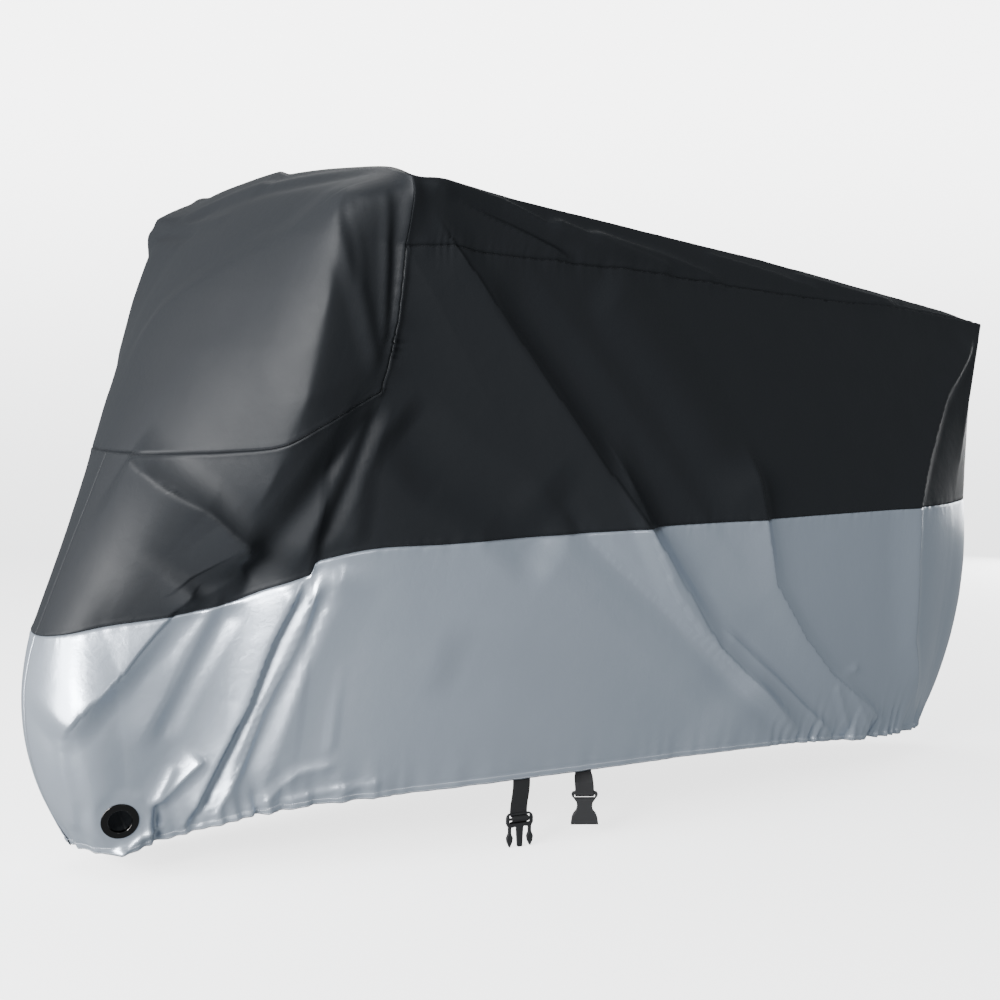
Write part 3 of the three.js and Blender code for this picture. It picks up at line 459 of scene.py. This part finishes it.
U = np.concatenate(
    [
        spread(0, FOLD_END, 108),
        spread(FOLD_END, SHOULDER, 48),
        spread(SHOULDER, CORNER, 250),
        spread(CORNER, TAIL, 12),
        [TAIL],
    ]
)
U_FRONT = U[U <= FOLD_END + 1e-9]
U_PUCKER = U[(U >= FOLD_END - 1e-9) & (U <= SHOULDER + 1e-9)]
U_SIDE = U[(U >= SHOULDER - 1e-9) & (U <= CORNER + 1e-9)]


def node_socket(node, name):
    return next(s for s in node.inputs if s.name == name)


def coated_cloth(name, colour, rough, metallic, gloss, crumple):
    """Coated polyester: a smooth satin film over a fine weave, with faint crumples."""
    material = bpy.data.materials.new(name)
    material.use_nodes = True
    tree = material.node_tree
    shader = next(n for n in tree.nodes if n.type == "BSDF_PRINCIPLED")
    shader.inputs["Base Color"].default_value = (*colour, 1)
    shader.inputs["Metallic"].default_value = metallic
    shader.inputs["Specular IOR Level"].default_value = gloss
    place = tree.nodes.new("ShaderNodeTexCoord")
    cloud = tree.nodes.new("ShaderNodeTexNoise")
    node_socket(cloud, "Scale").default_value = 14
    node_socket(cloud, "Detail").default_value = 5
    ranged = tree.nodes.new("ShaderNodeMapRange")
    node_socket(ranged, "To Min").default_value = rough - 0.05
    node_socket(ranged, "To Max").default_value = rough + 0.07
    crumples = tree.nodes.new("ShaderNodeTexNoise")
    node_socket(crumples, "Scale").default_value = 55
    node_socket(crumples, "Detail").default_value = 6
    node_socket(crumples, "Distortion").default_value = 0.6
    weave = tree.nodes.new("ShaderNodeTexNoise")
    node_socket(weave, "Scale").default_value = 900
    mixed = tree.nodes.new("ShaderNodeMath")
    mixed.operation = "MULTIPLY_ADD"
    mixed.inputs[1].default_value = 0.12
    bump = tree.nodes.new("ShaderNodeBump")
    node_socket(bump, "Strength").default_value = 0.35
    node_socket(bump, "Distance").default_value = crumple
    for texture in (cloud, crumples, weave):
        tree.links.new(place.outputs["Object"], texture.inputs["Vector"])
    tree.links.new(cloud.outputs[0], ranged.inputs[0])
    tree.links.new(ranged.outputs[0], shader.inputs["Roughness"])
    tree.links.new(weave.outputs[0], mixed.inputs[0])
    tree.links.new(crumples.outputs[0], mixed.inputs[2])
    tree.links.new(mixed.outputs[0], node_socket(bump, "Height"))
    tree.links.new(bump.outputs[0], shader.inputs["Normal"])
    return material


black_cloth = coated_cloth("black_cloth", (0.0108, 0.0122, 0.0145), 0.58, 0.0, 0.25, 0.0013)


def hood_edge(row):
    row = np.asarray(row, float)
    lower = top_rail(FOLD_END + (SHOULDER - FOLD_END) * np.minimum(row, PUCKER_ROWS) / PUCKER_ROWS)
    peak = np.array([(CREST_X, -y, z) for y, z in PEAK_EDGE], float)
    upper = curve_at(peak, (row - PUCKER_ROWS) / (HOOD_ROWS - PUCKER_ROWS))
    return np.where(row[..., None] <= PUCKER_ROWS, lower, upper)


def hood_section(row):
    """Points that a level section of the hood passes through, from the right edge to the left one."""
    table = np.array(HOOD_SECTIONS, float)
    place = np.arange(len(table), dtype=float)
    size = {}
    for k, column in enumerate(HOOD_COLUMNS):
        values = np.stack([place, table[:, k], 0 * place], 1)
        size[column] = float(curve_at(values, np.array(row / HOOD_ROWS))[1])
    corner = np.array([size["corner_x"], -size["corner_y"], size["corner_z"]])
    centre = np.array([size["centre_x"], 0, size["centre_z"]])
    between = centre + HOOD_CURVE * (corner - centre)
    between[1] = corner[1] / 2
    left = [between, corner, hood_edge(np.array(row))]
    return np.array([mirrored(p) for p in left[::-1]] + [centre] + left)


def hood_grid():
    upper = max(int(22 * FINE), 4)
    lower = PUCKER_ROWS * (U_PUCKER[:-1] - FOLD_END) / (SHOULDER - FOLD_END)
    rows_at = np.concatenate([lower, np.linspace(PUCKER_ROWS, HOOD_ROWS, upper)])
    place = 0.5 + 0.5 * U_FRONT / FOLD_END
    bottom = top_rail(U_FRONT) - curve_at(hood_section(0), place)
    left = np.stack(
        [curve_at(hood_section(r), place) + bottom * (1 - r / HOOD_ROWS) ** 2 for r in rows_at], 1
    )
    return np.vstack([mirrored(left[:0:-1]), left])


def draped_halves(grid, middle):
    """Drapes each half of a grid that crosses the middle plane, so that the far folds stay far."""
    right = draped(grid[: middle + 1])
    left = draped(grid[middle:])
    return np.vstack([right[:-1], left])


hood_points = draped_halves(hood_grid(), len(U_FRONT) - 1)
hood = cloth_mesh("front_hood_cloth", hood_points, black_cloth)
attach(hood, "root")
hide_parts("front_hood")


# Top strip
# The long narrow cut of black cloth from the crest back to the tail. It is sewn to both side panels
# and pulled taut between its three high points, so small folds run from its corners to its seams.
STRIP_COLUMNS = ("x", "ridge_y", "ridge_z", "middle_z")
STRIP_SECTIONS = [
    (235, 459, 1239, 1281),
    (310, 443, 1234, 1262),
    (450, 400, 1219, 1236),
    (880, 300, 1173, 1163),
    (1210, 220, 1139, 1126),
    (1570, 140, 1093, 1083),
    (1905, 66, 1050, 1046),
    (2062, 30, 1021, 1021),
]

SLOPE_SWELL = 0.04
CREST_REACH = 26


def strip_grid():
    sections = rows(STRIP_COLUMNS, STRIP_SECTIONS)
    seam = top_rail(U_SIDE)
    x = seam[:, 0]
    ridge_y, ridge_z, middle_z = (
        np.interp(x, [section["x"] for section in sections], [section[size] for section in sections])
        for size in STRIP_COLUMNS[1:]
    )
    ridge = np.stack([x, -ridge_y, ridge_z], 1)
    slope = np.linspace(0, 1, max(int(26 * FINE), 5))
    flat = np.linspace(0, 1, max(int(56 * FINE), 8))[1:]
    columns = []
    for t in slope:
        p = seam + (ridge - seam) * t
        puff = SLOPE_SWELL * np.linalg.norm(ridge - seam, axis=1) * 4 * t * (1 - t)
        columns.append(p + outward(p) * puff[:, None])
    for t in flat:
        rise = 1 - (1 - t) ** 2
        columns.append(np.stack([x, ridge[:, 1] * (1 - t), ridge_z + (middle_z - ridge_z) * rise], 1))
    peak = np.array([(CREST_X, -y, z) for y, z in PEAK_EDGE], float)
    crest = hood_section(HOOD_ROWS)
    columns = np.stack(columns, 1)
    front = np.vstack([curve_at(peak, slope), curve_at(crest, 1 - 0.5 * flat)])
    near = np.exp(-(((x - x[0]) / CREST_REACH) ** 2))[:, None, None]
    columns = columns + (front - columns[0]) * near
    return np.concatenate([columns, mirrored(columns[:, -2::-1])], 1)


strip_points = strip_grid()
half = strip_points.shape[1] // 2
strip_points = np.concatenate(
    [draped(strip_points[:, : half + 1])[:, :-1], draped(strip_points[:, half:])], 1
)
strip = cloth_mesh("top_strip_cloth", strip_points, black_cloth)
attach(strip, "root")
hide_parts("top_strip")


# Side panels
# The left and the right cut of black cloth, from the front centre to the tail. The weight of the
# hood and the pull of the strap draw long folds in them.
def beside_edge(points, away):
    """A line on the cloth beside the first row of its grid, a given distance away from that row."""
    step = points[:, 1:8] - points[:, :1]
    reach = np.linalg.norm(step, axis=-1)
    line = np.empty_like(points[:, 0])
    for i, (row, far) in enumerate(zip(points, reach)):
        places = np.concatenate([[0.0], far])
        line[i] = [np.interp(away, places, row[: len(places), k]) for k in range(3)]
    return line


def upper_wall(side):
    v = np.linspace(0, 1, max(int(80 * FINE), 10))
    top, seam = top_rail(U), closed_rail("seam", U)
    grid = top[:, None] + (seam - top)[:, None] * v[None, :, None]
    return grid if side == "left" else mirrored(grid)


STITCH_AWAY = 3.5
black_rows = []
for side in ("left", "right"):
    panel_points = draped(upper_wall(side))
    black_rows.append(beside_edge(panel_points, STITCH_AWAY))
    black_rows.append(beside_edge(panel_points[:, ::-1], STITCH_AWAY))
    panel = cloth_mesh(f"side_{side}_cloth", panel_points, black_cloth)
    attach(panel, "root")
    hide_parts(f"side_{side}")
black_rows.append(beside_edge(hood_points, STITCH_AWAY))


# Skirts
# Silver coated cloth below the colour seam, with the lock eyelet's place kept flat. An elastic sewn
# into the hem gathers it under both ends of the cover.
silver_cloth = coated_cloth("silver_cloth", (0.455, 0.505, 0.575), 0.3, 0.74, 0.5, 0.0014)
# The near-black inner face of the skirts is painted shade for the inside of the cover.
silver_back_painted_shade = coated_cloth("silver_cloth_back_painted_shade", (0.035, 0.037, 0.04), 0.7, 0.0, 0.3, 0.0006)
HEM_BAND = 13
HEM_STITCHES_AWAY = (3.0, 12.0)
# The right hem hangs lower than the left one round one of the lines, as far as the reach in lines.
RIGHT_SAG = {"drop": 34, "line": 3, "reach": 3}
GATHER_COLUMNS = ("x", "height")
HEM_GATHERS = [
    (-230, 9.0), (60, 15.0), (260, 8.0), (420, 2.0), (1150, 1.8), (1350, 8.0), (1600, 15.0), (1900, 10.0),
]
EYELET = {
    "left": ((-164.97, -109.19, 114.83), (-0.21387, -0.94542, -0.24586)),
    "right": ((-164.93, 109.19, 100.03), (-0.25261, 0.93949, -0.23139)),
}
EYELET_CUT = 30.5
EYELET_FLAT = 37.0
EYELET_BLEND = 66.0
EYELET_DEPTH = 60.0


def right_sag(u):
    return RIGHT_SAG["drop"] * smooth(1 - np.abs(u - RIGHT_SAG["line"]) / RIGHT_SAG["reach"])


def skirt_grid(side):
    rows_down = max(int(88 * FINE), 12)
    w = np.linspace(0, 1, rows_down)
    w = w + 0.05 * np.sin(math.pi * w)
    w = w / w[-1]
    seam, hem = closed_rail("seam", U), closed_rail("hem", U)
    bulge = np.interp(U, np.arange(len(lines)), [float(line["bulge"]) for line in lines])
    grid = seam[:, None] + (hem - seam)[:, None] * w[None, :, None]
    out = outward(grid)
    out[..., 2] = 0
    grid = grid + unit(out) * (bulge[:, None] * 4 * w * (1 - w))[..., None]
    if side == "left":
        return grid
    grid[..., 2] -= right_sag(U)[:, None] * w**2
    return mirrored(grid)


def hem_line(side, count=900):
    u = np.linspace(0, TAIL, count)
    hem = closed_rail("hem", u)
    if side == "left":
        return hem
    hem[:, 2] -= right_sag(u)
    return mirrored(hem)


def hem_height(grid, side):
    """Gathers and the rolled band at the hem."""
    p = grid.reshape(-1, 3)
    distance, place = seam_distance(p, hem_line(side))
    gathers = rows(GATHER_COLUMNS, HEM_GATHERS)
    strength = np.interp(p[:, 0], [g["x"] for g in gathers], [g["height"] for g in gathers])
    zero = place * 0
    ripple = noise(np.stack([place, zero, zero], 1), 15, 21 if side == "left" else 22)
    ripple += 0.9 * noise(np.stack([place, zero + 90, zero], 1), 37, 23)
    fade = np.exp(-((distance / 40) ** 1.3))
    band = 1.6 * np.exp(-(((distance - 0.5 * HEM_BAND) / 5) ** 2))
    band -= 1.3 * np.exp(-(((distance - HEM_BAND) / 2.2) ** 2))
    return strength * fade * ripple + band


def seated(points, side):
    """Keeps the cloth flat where the eyelet clamps it."""
    centre, normal = (np.array(v) for v in EYELET[side])
    away = points - (centre + normal * CLOTH)
    height = away @ normal
    radius = np.linalg.norm(away - height[..., None] * normal, axis=-1)
    near = 1 - smooth((radius - EYELET_FLAT) / (EYELET_BLEND - EYELET_FLAT))
    near = near * (np.abs(height) < EYELET_DEPTH)
    return points - (height * near)[..., None] * normal, radius, height


silver_rows = []
for side in ("left", "right"):
    grid = skirt_grid(side)
    points = draped(grid, hem_height(grid, side))
    points, radius, height = seated(points, side)
    inside = (radius < EYELET_CUT) & (np.abs(height) < EYELET_DEPTH)
    used = ~(inside[:-1, :-1] & inside[1:, :-1] & inside[1:, 1:] & inside[:-1, 1:])
    for away in HEM_STITCHES_AWAY:
        silver_rows.append(beside_edge(points[:, ::-1], away))
    skirt = cloth_mesh(f"skirt_{side}_cloth", points, silver_cloth, used, silver_back_painted_shade)
    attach(skirt, "root")
    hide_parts(f"skirt_{side}", f"eyelet_strip_{side}")


# Stitches
# Lockstitch in polyester thread: black beside every seam of the black cuts, and silver in two rows
# that hold the elastic in the hem. Each stitch lies on the cloth and its ends dip into it.
STITCH_COLUMNS = ("name", "pitch", "length", "thick", "lift", "colour", "lines")
STITCHES = [
    ("black", 4.6, 3.4, 0.75, 0.25, (0.02, 0.021, 0.023), black_rows),
    ("silver", 4.2, 3.2, 0.85, 0.3, (0.62, 0.64, 0.67), silver_rows),
]


def matt_thread(name, colour):
    material = bpy.data.materials.new(name)
    material.use_nodes = True
    tree = material.node_tree
    shader = next(n for n in tree.nodes if n.type == "BSDF_PRINCIPLED")
    shader.inputs["Base Color"].default_value = (*colour, 1)
    shader.inputs["Specular IOR Level"].default_value = 0.35
    place = tree.nodes.new("ShaderNodeTexCoord")
    fibre = tree.nodes.new("ShaderNodeTexNoise")
    node_socket(fibre, "Scale").default_value = 2500
    ranged = tree.nodes.new("ShaderNodeMapRange")
    node_socket(ranged, "To Min").default_value = 0.45
    node_socket(ranged, "To Max").default_value = 0.7
    tree.links.new(place.outputs["Object"], fibre.inputs["Vector"])
    tree.links.new(fibre.outputs[0], ranged.inputs[0])
    tree.links.new(ranged.outputs[0], shader.inputs["Roughness"])
    return material


def stitch_tree():
    """Sets a stitch at every step along each line of the mesh that it is given."""
    tree = bpy.data.node_groups.new("stitches", "GeometryNodeTree")
    tree.interface.new_socket("Lines", in_out="INPUT", socket_type="NodeSocketGeometry")
    for name in ("Pitch", "Length", "Thick"):
        tree.interface.new_socket(name, in_out="INPUT", socket_type="NodeSocketFloat")
    tree.interface.new_socket("Seed", in_out="INPUT", socket_type="NodeSocketInt")
    tree.interface.new_socket("Thread", in_out="INPUT", socket_type="NodeSocketMaterial")
    tree.interface.new_socket("Stitches", in_out="OUTPUT", socket_type="NodeSocketGeometry")
    new, link = tree.nodes.new, tree.links.new
    given, made = new("NodeGroupInput"), new("NodeGroupOutput")
    curve = new("GeometryNodeMeshToCurve")
    steps = new("GeometryNodeCurveToPoints")
    steps.mode = "LENGTH"
    bead = new("GeometryNodeMeshUVSphere")
    node_socket(bead, "Segments").default_value = 6
    node_socket(bead, "Rings").default_value = 3
    node_socket(bead, "Radius").default_value = 0.5
    size = new("ShaderNodeCombineXYZ")
    shape = new("GeometryNodeTransform")
    vary = new("FunctionNodeRandomValue")
    node_socket(vary, "Min").default_value = (0.9, 0.9, 0.85)
    node_socket(vary, "Max").default_value = (1.1, 1.1, 1.1)
    vary.data_type = "FLOAT_VECTOR"
    spots = new("GeometryNodeInstanceOnPoints")
    real = new("GeometryNodeRealizeInstances")
    coat = new("GeometryNodeSetMaterial")
    link(given.outputs["Lines"], curve.inputs["Mesh"])
    link(curve.outputs[0], steps.inputs["Curve"])
    link(given.outputs["Pitch"], node_socket(steps, "Length"))
    link(given.outputs["Thick"], size.inputs["X"])
    link(given.outputs["Thick"], size.inputs["Y"])
    link(given.outputs["Length"], size.inputs["Z"])
    link(bead.outputs["Mesh"], shape.inputs["Geometry"])
    link(size.outputs[0], shape.inputs["Scale"])
    link(given.outputs["Seed"], node_socket(vary, "Seed"))
    link(steps.outputs["Points"], spots.inputs["Points"])
    link(steps.outputs["Rotation"], spots.inputs["Rotation"])
    link(shape.outputs[0], spots.inputs["Instance"])
    link(vary.outputs[0], spots.inputs["Scale"])
    link(spots.outputs[0], real.inputs[0])
    link(real.outputs[0], coat.inputs["Geometry"])
    link(given.outputs["Thread"], coat.inputs["Material"])
    link(coat.outputs[0], made.inputs[0])
    return tree


def sewn(name, stitch, material, tree):
    points, edges = [], []
    for line in stitch["lines"]:
        lifted = (line + outward(line) * stitch["lift"] - REST) / 1000
        edges += [(len(points) + i, len(points) + i + 1) for i in range(len(lifted) - 1)]
        points += lifted.tolist()
    mesh = bpy.data.meshes.new(name)
    mesh.from_pydata(points, edges, [])
    mesh.materials.append(material)
    obj = bpy.data.objects.new(name, mesh)
    bpy.context.scene.collection.objects.link(obj)
    sewing = obj.modifiers.new("stitches", "NODES")
    sewing.node_group = tree
    values = {
        "Pitch": stitch["pitch"] / 1000 / FINE,
        "Length": stitch["length"] / 1000,
        "Thick": stitch["thick"] / 1000,
        "Seed": 4,
        "Thread": material,
    }
    for socket in tree.interface.items_tree:
        if socket.in_out == "INPUT" and socket.name in values:
            sewing[socket.identifier] = values[socket.name]
    obj.update_tag()
    graph = bpy.context.evaluated_depsgraph_get()
    plain = bpy.data.meshes.new_from_object(obj.evaluated_get(graph))
    obj.modifiers.clear()
    obj.data = plain
    plain.polygons.foreach_set("use_smooth", np.ones(len(plain.polygons), bool))
    return obj


sewing_tree = stitch_tree()
for stitch in rows(STITCH_COLUMNS, STITCHES):
    thread = matt_thread(f"{stitch['name']}_thread", stitch["colour"])
    stitches = sewn(f"{stitch['name']}_stitches", stitch, thread, sewing_tree)
    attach(stitches, "root")


# Lock eyelets
# Pressed black metal rings, each one an eyelet and a washer that clamp the cloth between them.
def smooth_finish(name, colour, rough, metallic):
    material = bpy.data.materials.new(name)
    material.use_nodes = True
    shader = next(n for n in material.node_tree.nodes if n.type == "BSDF_PRINCIPLED")
    shader.inputs["Base Color"].default_value = (*colour, 1)
    shader.inputs["Roughness"].default_value = rough
    shader.inputs["Metallic"].default_value = metallic
    return material


eyelet_metal = smooth_finish("eyelet_metal", (0.045, 0.043, 0.042), 0.16, 1.0)
# Section of the ring, as radius and height over the middle of the cloth
RING_PROFILE = [
    (21.5, -3.4), (21.5, 2.6), (21.8, 3.3), (22.4, 3.8), (23.4, 4.0), (24.6, 3.7), (26.0, 3.3),
    (29.0, 3.2), (31.6, 3.3), (33.0, 3.2), (33.8, 2.7), (34.0, 2.0), (33.8, 1.4), (22.7, 1.4),
    (22.7, -1.4), (31.8, -1.4), (32.0, -2.2), (31.6, -3.2), (30.4, -3.7), (23.0, -3.8), (21.8, -3.7),
]


def ring_mesh(name, centre, normal, material, steps):
    normal = np.array(normal)
    across = unit(np.cross([0, 0, 1], normal))
    up = np.cross(normal, across)
    angle = np.linspace(0, 2 * math.pi, steps, endpoint=False)
    spoke = np.cos(angle)[:, None] * across + np.sin(angle)[:, None] * up
    profile = np.array(RING_PROFILE)
    points = np.array(centre) + spoke[:, None] * profile[None, :, :1] + normal * profile[None, :, 1:]
    n, m = len(angle), len(profile)
    faces = [
        (i * m + j, ((i + 1) % n) * m + j, ((i + 1) % n) * m + (j + 1) % m, i * m + (j + 1) % m)
        for i in range(n)
        for j in range(m)
    ]
    mesh = bpy.data.meshes.new(name)
    mesh.from_pydata(((points.reshape(-1, 3) - REST) / 1000).tolist(), [], faces)
    mesh.materials.append(material)
    mesh.polygons.foreach_set("use_smooth", np.ones(len(faces), bool))
    body = bmesh.new()
    body.from_mesh(mesh)
    bmesh.ops.recalc_face_normals(body, faces=body.faces)
    body.to_mesh(mesh)
    body.free()
    obj = bpy.data.objects.new(name, mesh)
    bpy.context.scene.collection.objects.link(obj)
    return obj


for side in ("left", "right"):
    ring = ring_mesh(f"eyelet_{side}_ring", *EYELET[side], eyelet_metal, 64)
    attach(ring, "root")
    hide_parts(f"eyelet_{side}")


# Webbing
# Two ends of ribbed black webbing, sewn behind the hem. One is laced over the ladder bars of the plug
# half, and the other is looped round the bar of the socket half.
webbing = coated_cloth("webbing", (0.012, 0.012, 0.013), 0.75, 0.0, 0.3, 0.0004)
WEBBING_WIDTH = 37.0
WEBBING_THICK = 1.5
STRAP_COLUMNS = ("x", "y", "z", "turn")
PLUG_STRAP = [
    (568.0, -281.95, 164.6, -6.25), (573.0, -278.1, 147.6, -6.25), (577.5, -274.4, 131.9, -6.25),
    (577.3, -274.4, 114.9, -6.25), (575.0, -274.0, 96.9, -6.25), (572.3, -273.8, 81.9, -6.25),
    (570.5, -274.4, 67.0, -6.25), (570.5, -274.8, 61.9, -6.25), (569.6, -282.9, 58.4, -6.25),
    (569.6, -282.9, 51.4, -6.25), (570.5, -274.4, 47.9, -6.25), (570.5, -274.2, 41.9, -6.25),
]
SOCKET_STRAP = [
    (701.8, -291.9, 166.0, -3.8), (708.5, -288.2, 149.0, -3.8), (714.6, -284.6, 133.3, -3.8),
    (714.6, -284.6, 127.0, -5.0), (715.4, -284.8, 120.3, -19.2), (716.6, -285.0, 108.3, -31.8),
    (717.6, -285.0, 98.3, -31.8), (718.6, -284.7, 87.3, -31.8), (718.9, -284.3, 82.0, -31.8),
    (720.7, -281.3, 79.6, -31.8), (722.5, -278.4, 82.0, -31.8), (722.7, -278.1, 100.3, -31.8),
]

RIB_HEIGHT = 0.16
RIB_WAVES = 7.5


def strap_mesh(name, route, material):
    steps = 140
    t = np.linspace(0, 1, steps)
    centre = curve_at([(place["x"], place["y"], place["z"]) for place in route], t)
    turn = np.interp(t * (len(route) - 1), np.arange(len(route)), [place["turn"] for place in route])
    turn = np.radians(turn)
    across = np.stack([np.cos(turn), np.sin(turn), 0 * turn], 1)
    run = unit(np.gradient(centre, axis=0))
    face = unit(np.cross(run, across))
    count = 46
    s = np.linspace(-1, 1, count)
    rib = RIB_HEIGHT * np.cos(s * math.pi * 2 * RIB_WAVES)
    edge = np.sqrt(np.clip(1 - np.abs(s) ** 24, 0, 1))
    upper = WEBBING_THICK / 2 * edge + rib * edge
    x = np.concatenate([s, s[::-1]]) * WEBBING_WIDTH / 2
    y = np.concatenate([upper, -upper[::-1]])
    points = centre[:, None] + across[:, None] * x[None, :, None] + face[:, None] * y[None, :, None]
    m = 2 * count
    faces = [
        (i * m + j, i * m + (j + 1) % m, (i + 1) * m + (j + 1) % m, (i + 1) * m + j)
        for i in range(steps - 1)
        for j in range(m)
    ]
    faces += [tuple(range(m))[::-1], tuple(range((steps - 1) * m, steps * m))]
    mesh = bpy.data.meshes.new(name)
    mesh.from_pydata(((points.reshape(-1, 3) - REST) / 1000).tolist(), [], faces)
    body = bmesh.new()
    body.from_mesh(mesh)
    bmesh.ops.remove_doubles(body, verts=body.verts, dist=1e-6)
    bmesh.ops.recalc_face_normals(body, faces=body.faces)
    body.to_mesh(mesh)
    body.free()
    mesh.materials.append(material)
    mesh.polygons.foreach_set("use_smooth", np.ones(len(mesh.polygons), bool))
    obj = bpy.data.objects.new(name, mesh)
    bpy.context.scene.collection.objects.link(obj)
    return obj


for name, table, length in (("plug", PLUG_STRAP, 0.143), ("socket", SOCKET_STRAP, 0.12)):
    strap = strap_mesh(f"{name}_webbing", rows(STRAP_COLUMNS, table), webbing)
    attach(strap, "root")
    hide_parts(f"strap_{name}_side")


# Buckle halves
# Moulded black plastic. The plug half has two bars for its webbing, a tongue and two spring prongs,
# and the socket half is a waisted case that the prongs click into.
buckle_plastic = smooth_finish("buckle_plastic", (0.012, 0.012, 0.013), 0.42, 0.0)


def rounded_copy(node, name, material, radius):
    """The solid of a moulded piece with its edges rounded, as a new object."""
    body = bmesh.new()
    body.from_mesh(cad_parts[node].data)
    bmesh.ops.remove_doubles(body, verts=body.verts, dist=1e-5)
    bmesh.ops.dissolve_limit(body, angle_limit=math.radians(1), verts=body.verts, edges=body.edges)
    mesh = bpy.data.meshes.new(name)
    body.to_mesh(mesh)
    body.free()
    mesh.materials.append(material)
    obj = bpy.data.objects.new(name, mesh)
    bpy.context.scene.collection.objects.link(obj)
    bevel = obj.modifiers.new("edges", "BEVEL")
    bevel.width = radius
    bevel.segments = 2
    bevel.limit_method = "ANGLE"
    bevel.angle_limit = math.radians(35)
    plain = bpy.data.meshes.new_from_object(obj.evaluated_get(bpy.context.evaluated_depsgraph_get()))
    obj.modifiers.clear()
    obj.data = plain
    return obj


for node, radius in (("buckle_plug", 0.0007), ("buckle_socket", 0.0009)):
    buckle = rounded_copy(node, f"{node}_moulding", buckle_plastic, radius)
    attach(buckle, "root")
    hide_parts(node)


# Stage
# A pale floor at the ground's height that turns up into a wall behind, under soft studio lamps. The paper
# also emits light of its own, more strongly higher up the wall. This is painted light that only the camera
# sees.
FLOOR_Z = -REST[2] / 1000


def sweep_floor():
    front, back, bend, top, half_width = -9.0, 5.0, 2.5, 9.0, 14
    profile = [(front, 0.0), (back, 0.0)]
    profile += [
        (back + bend * math.sin(a), bend - bend * math.cos(a)) for a in np.linspace(0, math.pi / 2, 16)[1:]
    ]
    profile += [(back + bend, top)]
    turn = camera.rotation_euler.z
    ahead = np.array([-math.sin(turn), math.cos(turn), 0])
    right = np.array([math.cos(turn), math.sin(turn), 0])
    points = []
    for away, up in profile:
        for sideways in (-half_width, half_width):
            points.append(ahead * away + right * sideways + np.array([0, 0, FLOOR_Z + up]))
    faces = [(2 * i, 2 * i + 1, 2 * i + 3, 2 * i + 2) for i in range(len(profile) - 1)]
    mesh = bpy.data.meshes.new("floor")
    mesh.from_pydata([p.tolist() for p in points], [], faces)
    mesh.polygons.foreach_set("use_smooth", np.ones(len(faces), bool))
    paper = smooth_finish("studio_paper", (0.9, 0.9, 0.9), 0.85, 0.0)
    tree = paper.node_tree
    shader = next(n for n in tree.nodes if n.type == "BSDF_PRINCIPLED")
    # Painted light: the paper emits light of its own, with a strength of 2.4 at the floor and 5.0 up the
    # wall.
    place = tree.nodes.new("ShaderNodeTexCoord")
    height = tree.nodes.new("ShaderNodeSeparateXYZ")
    glow = tree.nodes.new("ShaderNodeMapRange")
    glow.interpolation_type = "SMOOTHSTEP"
    for name, value in (("From Min", FLOOR_Z - 0.1), ("From Max", 1.6), ("To Min", 2.4), ("To Max", 5.0)):
        node_socket(glow, name).default_value = value
    tree.links.new(place.outputs["Object"], height.inputs[0])
    tree.links.new(height.outputs["Z"], glow.inputs[0])
    tree.links.new(glow.outputs[0], shader.inputs["Emission Strength"])
    shader.inputs["Emission Color"].default_value = (1, 1, 1, 1)
    mesh.materials.append(paper)
    obj = bpy.data.objects.new("floor", mesh)
    bpy.context.scene.collection.objects.link(obj)
    return obj


floor = sweep_floor()
floor.visible_glossy = False
floor.visible_diffuse = False

LAMP_COLUMNS = ("name", "place", "aim", "size", "power")
LAMPS = [
    ("front", (-5.2, -0.6, 0.1), (-0.9, -0.1, -0.6), 3.4, 560),
    ("key", (-5.1, -3.0, 0.7), (-0.3, -0.2, -0.5), 1.6, 460),
    ("over", (1.4, 2.4, 3.4), (0.2, 0.4, -0.6), 3.0, 110),
    ("hood", (-4.6, 0.9, 1.8), (-0.8, 0.0, 0.0), 2.6, 85),
    ("streak", (-0.9, -4.3, -0.1), (0.5, -0.3, -0.6), 0.8, 14),
    ("tail", (4.8, 2.2, -0.1), (1.0, 0.0, -0.6), 1.6, 90),
]
for lamp in rows(LAMP_COLUMNS, LAMPS):
    data = bpy.data.lights.new(lamp["name"], "AREA")
    data.shape = "SQUARE"
    data.size = lamp["size"]
    data.energy = lamp["power"]
    obj = bpy.data.objects.new(lamp["name"], data)
    obj.location = lamp["place"]
    obj.rotation_euler = (Vector(lamp["aim"]) - Vector(lamp["place"])).to_track_quat("-Z", "Y").to_euler()
    obj.visible_camera = False
    bpy.context.scene.collection.objects.link(obj)

world = bpy.data.worlds.new("studio")
world.use_nodes = True
sky = next(n for n in world.node_tree.nodes if n.type == "BACKGROUND")
sky.inputs["Color"].default_value = (0.87, 0.94, 1.0, 1)
sky.inputs["Strength"].default_value = 0.4
bpy.context.scene.world = world
